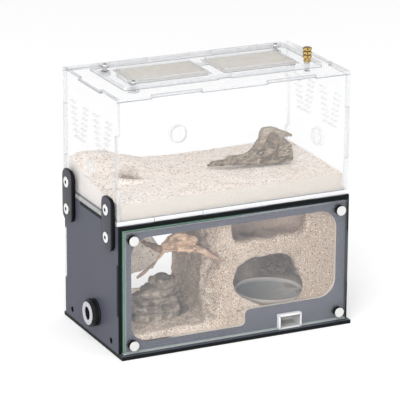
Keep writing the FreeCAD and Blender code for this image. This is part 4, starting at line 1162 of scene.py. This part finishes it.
woodLook = {
    "voxel": 0.7, "grain": 1.1, "grainSize": 4.2, "bumps": 0.6, "bumpSize": 7, "sunk": 3.0,
    "limbs": [  # stations of (x, y, height above the sand, half width, half height)
        [  # the long base, from the tail's tip to the square foot
            (1.2, 4, 0.7, 1.2, 0.9), (6, 3.4, 1.7, 2.6, 2.2), (15, 1.5, 2.3, 4.2, 2.6),
            (26, -1, 2.6, 5.6, 3.2), (40, -4, 2.8, 7, 3.8), (54, -6, 3.2, 8, 4.4),
            (64, -6, 3.8, 7.4, 5), (70, -6, 4.6, 6, 5.4),
        ],
        [  # the ridge along its top, which climbs to the head
            (16.8, 1, 5.0, 2.0, 2.6), (24, -0.5, 5.1, 2.8, 2.7), (31, -2, 5.3, 3.6, 2.8),
            (37, -3, 7.4, 4.2, 3.6), (41.6, -4, 12, 4.6, 4.2), (45.8, -5, 18, 4.8, 4.4),
            (48, -5, 24, 5.2, 5.0), (50, -5, 27.0, 5, 2.4),
        ],
        [  # the head and its beak on the right
            (46, -5, 26.0, 4, 3.0), (52, -5, 26.4, 5, 3.0), (58, -5.5, 24.0, 4.6, 2.9),
            (65, -6.5, 21.6, 3.4, 2.2), (70.6, -7.2, 20.2, 1.6, 1.0),
        ],
        [  # the wall behind the hollow
            (53, -3, 5, 4.6, 6.5), (54, -3.2, 14, 4.2, 7), (56, -3.8, 21, 4.2, 6.5),
        ],
        [  # the brace from the foot up to the beak
            (57, -9.5, 4, 2.6, 2.6), (59.5, -9.4, 11, 2.4, 2.4), (60.5, -8.6, 18, 2.6, 2.4),
            (59, -7.4, 24, 3, 2.6),
        ],
        [  # the block on the right, with its shoulder
            (64.6, -6.5, 1, 6.4, 6.8), (65, -6.5, 7, 6, 6.6), (64.4, -6.5, 11, 5.2, 6.4),
            (61, -6, 16, 4.2, 4.8),
        ],
    ],
    "hollows": [  # (place, radius, depth) of the rotted hollows on the near side
        ((52, -9.5, 16), 4.6, 3.2), ((53.5, -9, 21), 3.4, 2.0), ((47, -11, 6), 4.2, 2.4),
        ((36, -9, 4.4), 3.6, 1.8), ((56, -11.5, 5), 3.4, 2.0), ((66, -12, 15), 3.0, 1.6),
        ((24, -5, 4.6), 3.0, 1.3),
    ],
}


def makeDriftwood():
    look = woodLook
    ground = Vector((0, 0, nodeBox("driftwood")[0].z + look["sunk"]))
    body = bmesh.new()
    for stations in look["limbs"]:
        limb(body, [(x, y, ground.z + z, wide, tall) for x, y, z, wide, tall in stations])
    body = remeshed(body, look["voxel"])
    relax(body, body.verts[:], 0.5)

    def push(place, normal):
        ridge = ridged(place, look["grainSize"], (2.2, 1, 1.7)) - 0.5
        here = place / mm - ground
        dent = sum(depth * fade((here - Vector(spot)).length / radius) for spot, radius, depth in look["hollows"])
        return look["grain"] * ridge + look["bumps"] * lumpy(place, look["bumpSize"], 3, 2.0) - dent

    carve(body, push)
    addPiece("driftwood_piece", body, "wood", stands=["driftwood"], crease=75)


makeDriftwood()

stoneLook = {
    "voxel": 0.8, "beds": 0.7, "bedSize": 7.5, "bedLevel": 0.55, "chips": 1.7, "chipSize": 7,
    "layer": 6.3, "waver": 0.8, "waverSize": 14, "gap": 1.2, "gapWidth": 0.9,
    "gaps": (0.5, 4.6),  # how many layers up the first and the last split may lie
}


def makeStones():
    foot = nodeBox("rock_stack")[0].z
    body = remeshed(nodeCopy("rock_stack"), stoneLook["voxel"])

    def push(place, normal):
        bed = ridged(place, stoneLook["bedSize"], (1.8, 1.8, 0.7)) - stoneLook["bedLevel"]
        chip = lumpy(place, stoneLook["chipSize"], 4, 5.0)
        waver = stoneLook["waver"] * lumpy(place, stoneLook["waverSize"], 2, 3.0)
        level = (place.z / mm - foot + waver) / stoneLook["layer"]
        split = stoneLook["gaps"][0] < level < stoneLook["gaps"][1]
        away = abs(level - round(level)) * stoneLook["layer"] / stoneLook["gapWidth"]
        joint = stoneLook["gap"] * fade(away) * (1 - abs(normal.z)) if split else 0
        return stoneLook["beds"] * bed + stoneLook["chips"] * chip - joint

    carve(body, push)
    addPiece("stone_stack", body, "rock", stands=["rock_stack"], crease=75)


makeStones()

rootLook = {
    "voxel": 0.6, "grain": 1.1, "grainSize": 4.6, "knots": 0.8, "knotSize": 6,
    "thin": 0.25, "twigEnd": -66, "twigLength": 16,
    "limbs": [  # stations of (x, y, z, half width, half height)
        [  # the twig, from its tip up to the trunk
            (-74.1, -27, 54.3, 0.8, 0.8), (-70.2, -27, 56.6, 1.2, 1.4), (-66.2, -27.5, 59.6, 1.4, 1.6),
            (-63, -28, 62.1, 1.0, 1.1), (-57.6, -28, 66.2, 0.9, 0.9), (-54.4, -28, 69.8, 1.0, 1.0),
            (-52.5, -28.5, 73.2, 1.8, 1.7), (-49.7, -29, 77.1, 2.6, 3.0),
        ],
        [  # the trunk's low side, which runs on over the cast's front and sinks into it
            (-52.9, -28.5, 75, 2.2, 2.1), (-48, -29, 75.3, 3, 2.9), (-41.6, -30, 75.5, 3.6, 3.2),
            (-33.9, -32, 75.2, 3.8, 3.4), (-28.9, -35, 75.2, 3.6, 3.3), (-24, -38, 73.4, 3.2, 2.8),
            (-18.5, -41.5, 70.5, 2.6, 2.3), (-13.2, -44.6, 67.4, 2.0, 1.7), (-8, -46.3, 64.6, 1.4, 1.0),
        ],
        [  # its high side, behind the window's top edge
            (-51, -28, 77, 3, 3.2), (-45.8, -28, 81.2, 3.4, 4), (-40.9, -28.5, 83.1, 4, 4.8),
            (-34.7, -30, 82.7, 4, 4.8), (-29.6, -32, 81.8, 3.6, 4), (-26.3, -35, 79.2, 3, 3.2),
        ],
        [  # the branch that reaches back over the cast's lobe
            (-51.4, -27, 74.3, 2.4, 2.4), (-53, -22, 74, 2.8, 3.2), (-54.1, -14, 73.9, 2.4, 2.4),
            (-53.4, 0, 71, 1.8, 1.8), (-52, 16, 70.6, 1.4, 1.4), (-48, 25, 71, 1.2, 1.2),
        ],
    ],
}


def makeRoot():
    look = rootLook
    body = bmesh.new()
    for stations in look["limbs"]:
        limb(body, stations)
    body = remeshed(body, look["voxel"])

    def push(place, normal):
        ridge = ridged(place, look["grainSize"], (3.4, 1, 1)) - 0.5
        thick = clamp((place.x / mm - look["twigEnd"]) / look["twigLength"], look["thin"])
        return thick * (look["grain"] * ridge + look["knots"] * lumpy(place, look["knotSize"], 3, 9.0))

    carve(body, push)
    addPiece("root_piece", body, "root", stands=["root_branch"], crease=75)


makeRoot()

print("lid meshes")

weave = {"pitch": 1.3, "wire": 0.21, "lift": 0.11, "inset": 0.01}


def wovenSheet(name, node):
    low, high = nodeBox(node)
    pitch, inset = weave["pitch"], weave["inset"]
    body = bmesh.new()
    for along, across in ((0, 1), (1, 0)):
        count = int((high[across] - low[across]) / pitch)
        steps = int((high[along] - low[along]) / pitch)
        stride = (high[along] - low[along] - 2 * inset) / steps
        start = Matrix.Rotation(math.pi / 2, 4, "Y") if along == 0 else Matrix.Rotation(-math.pi / 2, 4, "X")
        for phase in (0, 1):
            wire = bmesh.new()
            front = bmesh.ops.create_circle(
                wire, segments=4, radius=weave["wire"] * mm, cap_ends=True, matrix=start,
            )["verts"]
            place = (low + high) / 2
            place[along] = low[along] + inset
            place[across] = low[across] + pitch * (0.5 + phase)
            bmesh.ops.translate(wire, vec=place * mm, verts=front)
            bow = weave["lift"] * (1 if (phase + along) % 2 else -1)
            level = 0
            for step in range(steps):
                grown = bmesh.ops.extrude_edge_only(wire, edges=edgesAmong(wire.edges, front))["geom"]
                front = vertsAmong(grown)
                move = Vector((0, 0, (bow if step % 2 else -bow) - level))
                level += move.z
                move[along] = stride
                bmesh.ops.translate(wire, vec=move * mm, verts=front)
            bmesh.ops.contextual_create(wire, geom=edgesAmong(wire.edges, front))
            shift = Vector((0, 0, 0))
            shift[across] = 2 * pitch
            for number in range((count - phase + 1) // 2):
                merge(body, wire.copy())
                bmesh.ops.translate(wire, vec=shift * mm, verts=wire.verts[:])
            wire.free()
    addPiece(name, body, "wire", rides="lid", stands=[node], crease=50)


wovenSheet("mesh_left", "lid_mesh_left")
wovenSheet("mesh_right", "lid_mesh_right")

print("screws and knobs")

headLook = {
    "rounding": 0.45, "socket": 2.5, "socketDepth": 0.8, "lip": 0.25, "chamfer": 0.15, "shank": 1.5, "point": 0.3,
}


def socketHead(body, place, axis, radius, height, length):
    # button head with a hexagon socket, from its seat outwards, and its shank inwards
    look = headLook
    bend, chamfer, shank, point = look["rounding"], look["chamfer"], look["shank"], look["point"]
    rim = look["socket"] / math.sqrt(3)
    mouth = rim + look["lip"]
    lathe(body, [
        (height, mouth), (height, radius - bend * 1.6), (height - bend * 0.3, radius - bend * 0.5),
        (height - bend, radius), (chamfer, radius), (0, radius - chamfer), (0, shank), (-length + point, shank),
        (-length, shank - point), (-length, 0),
    ], place, axis, 36)
    fresh = bmesh.new()
    dark = fresh.verts.layers.float.new("socket")
    bmesh.ops.create_circle(fresh, segments=36, radius=mouth * mm)
    inner = bmesh.ops.create_circle(fresh, segments=6, radius=rim * mm)["verts"]
    bmesh.ops.translate(fresh, vec=(0, 0, height * mm), verts=fresh.verts[:])
    bmesh.ops.bridge_loops(fresh, edges=fresh.edges[:])
    sunk = vertsAmong(bmesh.ops.extrude_edge_only(fresh, edges=edgesAmong(fresh.edges, inner))["geom"])
    bmesh.ops.translate(fresh, vec=(0, 0, -look["socketDepth"] * mm), verts=sunk)
    # the socket's walls and floor are painted near black, as painted shade in the recess
    for vert in inner + sunk:
        vert[dark] = 1
    bmesh.ops.contextual_create(fresh, geom=edgesAmong(fresh.edges, sunk))
    bmesh.ops.transform(fresh, matrix=aim(place, axis), verts=fresh.verts[:])
    merge(body, fresh)


def shells(node):
    # boxes of the separate solids in one CAD node
    body = nodeCopy(node)
    unseen = set(body.verts)
    found = []
    for first in body.verts:
        if first not in unseen:
            continue
        unseen.remove(first)
        stack, members = [first], []
        while stack:
            vert = stack.pop()
            members.append(vert.co.copy())
            for edge in vert.link_edges:
                other = edge.other_vert(vert)
                if other in unseen:
                    unseen.remove(other)
                    stack.append(other)
        low = Vector([min(m[i] for m in members) for i in range(3)]) / mm
        high = Vector([max(m[i] for m in members) for i in range(3)]) / mm
        found.append((low, high))
    body.free()
    return found


bracketLook = {"corner": 7.0, "edge": 0.5}


def makeBrackets():
    for row in ("front", "back"):
        node = "bracket_" + row + "_left"
        body = block(*nodeBox(node), corner=bracketLook["corner"], along="X", edge=bracketLook["edge"])
        addPiece("link_" + row, body, "link", stands=[node], crease=50)


makeBrackets()

screwLook = {  # (piece, its finish, the body it rides, outward axis, head's height, head's radius) for each node
    "bracket_screws": ("link_screws", "steel", "case", (-1, 0, 0), 1.3, 4.4),
    "lid_bolts": ("lid_screws", "lidSteel", "lid", (0, 0, 1), 1.5, 4.3),
}


def makeScrews():
    for node, (name, finish, rides, axis, head, radius) in screwLook.items():
        body = bmesh.new()
        for low, high in shells(node):
            reach = abs((high - low).dot(Vector(axis)))
            seat = (low + high) / 2 + Vector(axis) * (reach / 2 - head)
            socketHead(body, seat * mm, axis, radius, head, reach - head)
        addPiece(name, body, finish, rides=rides, stands=[node])


makeScrews()

knobLook = {
    "radius": 4.0, "barrel": 3.3, "neck": 3.85, "groove": 0.25, "grooveBand": (1.35, 1.75), "shank": 1.5,
    "bore": 1.55, "cap": 0.9,
}


def makeKnobs():
    look = knobLook
    radius, bore, shank, cap, barrel = look["radius"], look["bore"], look["shank"], look["cap"], look["barrel"]
    neck, groove = look["neck"], radius - look["groove"]
    grooveLow, grooveHigh = look["grooveBand"]
    for corner in ("top_left", "top_right", "bottom_left", "bottom_right"):
        low, high = nodeBox("knob_barrel_" + corner)
        front = Vector(((low.x + high.x) / 2, low.y, (low.z + high.z) / 2))
        through = high.y - low.y - barrel
        body = bmesh.new()
        lathe(body, [
            (0, bore), (-through, bore), (-through, neck - 0.2), (0.2 - through, neck), (0, neck),
            (0, radius - 0.3), (0.3, radius), (grooveLow - 0.15, radius), (grooveLow, groove), (grooveHigh, groove),
            (grooveHigh + 0.15, radius), (barrel - 0.25, radius), (barrel, radius - 0.25), (barrel, bore), (0, bore),
        ], (front + Vector((0, barrel, 0))) * mm, (0, -1, 0))
        addPiece(
            "grip_" + corner, body, "satinBlack", rides="knob_" + corner, stands=["knob_barrel_" + corner],
        )
        length = nodeBox("knob_screw_" + corner)[1].y - low.y
        body = bmesh.new()
        lathe(body, [
            (-length, 0), (-length, shank - 0.3), (-length + 0.3, shank), (0, shank),
            (0, radius - 0.15), (0.12, radius), (0.5, radius), (0.72, radius - 0.14), (cap - 0.06, radius - 0.5),
            (cap, radius * 0.6), (cap, 0),
        ], front * mm, (0, -1, 0))
        addPiece(
            "cap_" + corner, body, "capSteel", rides="knob_" + corner, stands=["knob_screw_" + corner],
        )


makeKnobs()

thumbLook = {
    "collar": 2.9, "collarHeight": 2.4, "waist": 2.4, "waistHeight": 0.75, "bead": 3.6, "beadHeight": 2.31,
    "beads": 3, "bore": 1.8, "top": 0.9, "knurl": 0.28, "ribs": 48, "dimples": 6, "dimple": 0.5, "waistShade": 0.7,
}


def makeThumbNut():
    look = thumbLook
    low, high = nodeBox("thumb_nut")
    place = Vector(((low.x + high.x) / 2, (low.y + high.y) / 2, low.z))
    collar, level, bead = look["collar"], look["collarHeight"], look["bead"]
    profile = [
        (0.6, look["bore"]), (0, look["bore"] + 0.3), (0, collar - 0.2), (0.2, collar), (level - 0.2, collar),
        (level, collar - 0.2),
    ]
    for number in range(look["beads"]):
        swell = level + look["waistHeight"]
        end = swell + look["beadHeight"]
        profile += [
            (level, look["waist"]), (swell, look["waist"]), (swell, bead - 0.5), (swell + 0.35, bead),
            ((swell + end) / 2, bead), (end - 0.35, bead), (end, bead - 0.5),
        ]
        level = end
    profile += [(level, look["top"]), (level - 0.4, look["top"] - 0.2), (level - 0.4, 0)]
    body = bmesh.new()
    lathe(body, profile, place * mm, (0, 0, 1), look["ribs"])
    dark = body.verts.layers.float.new("socket")
    ribsEach = look["ribs"] // look["dimples"]
    for vert in body.verts:  # the knurl on the beads, the dimples round their middles painted black, and the waists painted dark, as painted shade
        away = (vert.co / mm - place).xy
        height = vert.co.z / mm - place.z - look["collarHeight"]
        if away.length > bead - 0.05:
            rib = round(math.atan2(away.y, away.x) / math.tau * look["ribs"])
            inward = -away.normalized().to_3d() * look["knurl"] * mm
            level = height % (look["waistHeight"] + look["beadHeight"])
            if rib % 2:
                vert.co += inward
            if abs(level - look["waistHeight"] - look["beadHeight"] / 2) < look["dimple"] and rib % ribsEach in (0, 1):
                vert.co += inward * 2
                vert[dark] = 1
        elif away.length < bead - 0.3 and height > 0:
            vert[dark] = look["waistShade"]
    addPiece("thumb_grip", body, "brass", rides="thumb_nut", stands=["thumb_nut"], crease=24)


makeThumbNut()

print("ports and plugs")


def rounded(profile, bend):
    # the profile with a short bend, in two steps, in place of every corner between its ends
    points = [Vector(point) for point in profile]
    result = [points[0]]
    for before, corner, after in zip(points, points[1:], points[2:]):
        reach = min(bend, (corner - before).length * 0.45, (after - corner).length * 0.45)
        first = corner + (before - corner).normalized() * reach
        last = corner + (after - corner).normalized() * reach
        result += [first, corner + ((first + last) / 2 - corner) * 0.42, last]
    return [tuple(point) for point in result + [points[-1]]]


portLook = {
    "bore": 5.25, "ringBore": 5.4, "neck": 8.0, "neckLength": 6.6, "flange": 11.0, "groove": 9.2, "disc": 11.3,
    "ring": 9.25, "steps": (2.0, 3.4, 5.7, 6.6, 7.5),  # where flange, groove, disc, grommet and ring end
    "bend": 0.4, "ringBend": 0.35,
}


def makeTubePort():
    look = portLook
    low, high = nodeBox("tube_port_body")
    place = Vector((high.x - look["neckLength"], (low.y + high.y) / 2, (low.z + high.z) / 2)) * mm
    bore, ringBore, ring = look["bore"], look["ringBore"], look["ring"]
    flangeEnd, grooveEnd, discEnd, bodyEnd, ringEnd = look["steps"]
    body = bmesh.new()
    lathe(body, rounded([
        (0.5, bore), (-look["neckLength"], bore), (-look["neckLength"], look["neck"]), (0, look["neck"]),
        (0, look["flange"]), (flangeEnd, look["flange"]), (flangeEnd, look["groove"]), (grooveEnd, look["groove"]),
        (grooveEnd, look["disc"]), (discEnd, look["disc"]), (discEnd, ring), (bodyEnd, ring), (bodyEnd, bore),
        (0.5, bore),
    ], look["bend"]), place, (-1, 0, 0), 56)
    addPiece("port_grommet", body, "charcoal", stands=["tube_port_body"])
    body = bmesh.new()
    lathe(body, rounded([
        (bodyEnd + 0.3, ringBore), (bodyEnd, ringBore), (bodyEnd, ring), (ringEnd, ring), (ringEnd, ringBore),
        (bodyEnd + 0.3, ringBore),
    ], look["ringBend"]), place, (-1, 0, 0), 56)
    addPiece("port_ring", body, "lilac", stands=["tube_port_ring"])


makeTubePort()

waterLook = {"wall": 1.2, "edge": 0.5, "frontArea": 50}


def makeWaterPort():
    look = waterLook
    low, high = nodeBox("water_port")
    body = block(low, high, corner=look["edge"], along="Y", edge=look["edge"] * 0.5, cornerSteps=3)
    fronts = [f for f in body.faces if f.normal.y < -0.99 and f.calc_area() > look["frontArea"] * mm * mm]
    bmesh.ops.inset_region(body, faces=fronts, thickness=look["wall"] * mm, use_even_offset=True)
    bottom = bmesh.ops.extrude_face_region(body, geom=fronts)["geom"]
    bmesh.ops.delete(body, geom=fronts, context="FACES_ONLY")
    depth = high.y - low.y - look["wall"]
    bmesh.ops.translate(body, vec=(0, depth * mm, 0), verts=vertsAmong(bottom))
    addPiece("water_inlet", body, "inlet", stands=["water_port"])


makeWaterPort()

plugLook = {
    "flange": 8.4, "thickness": 1.4, "body": 6.75, "length": 3.6, "dimple": 0.5, "dimpleRim": 2.2,
    "dimpleFloor": 2.8, "bend": 0.35,
}


def makePlugs():
    look = plugLook
    flange, thickness = look["flange"], look["thickness"]
    for side, axis in (("left", (-1, 0, 0)), ("right", (1, 0, 0)), ("back", (0, 1, 0))):
        node = "port_plug_" + side
        low, high = nodeBox(node)
        seat = (low + high) / 2 + Vector(axis) * (abs((high - low).dot(Vector(axis))) / 2 - thickness)
        body = bmesh.new()
        lathe(body, rounded([
            (-look["length"], 0), (-look["length"], look["body"]), (0, look["body"]), (0, flange),
            (thickness, flange), (thickness, flange - look["dimpleRim"]),
            (thickness - look["dimple"], flange - look["dimpleFloor"]), (thickness - look["dimple"], 0),
        ], look["bend"]), seat * mm, axis, 48)
        addPiece("stopper_" + side, body, "plug", rides="plug_" + side, stands=[node])


makePlugs()

print("done")
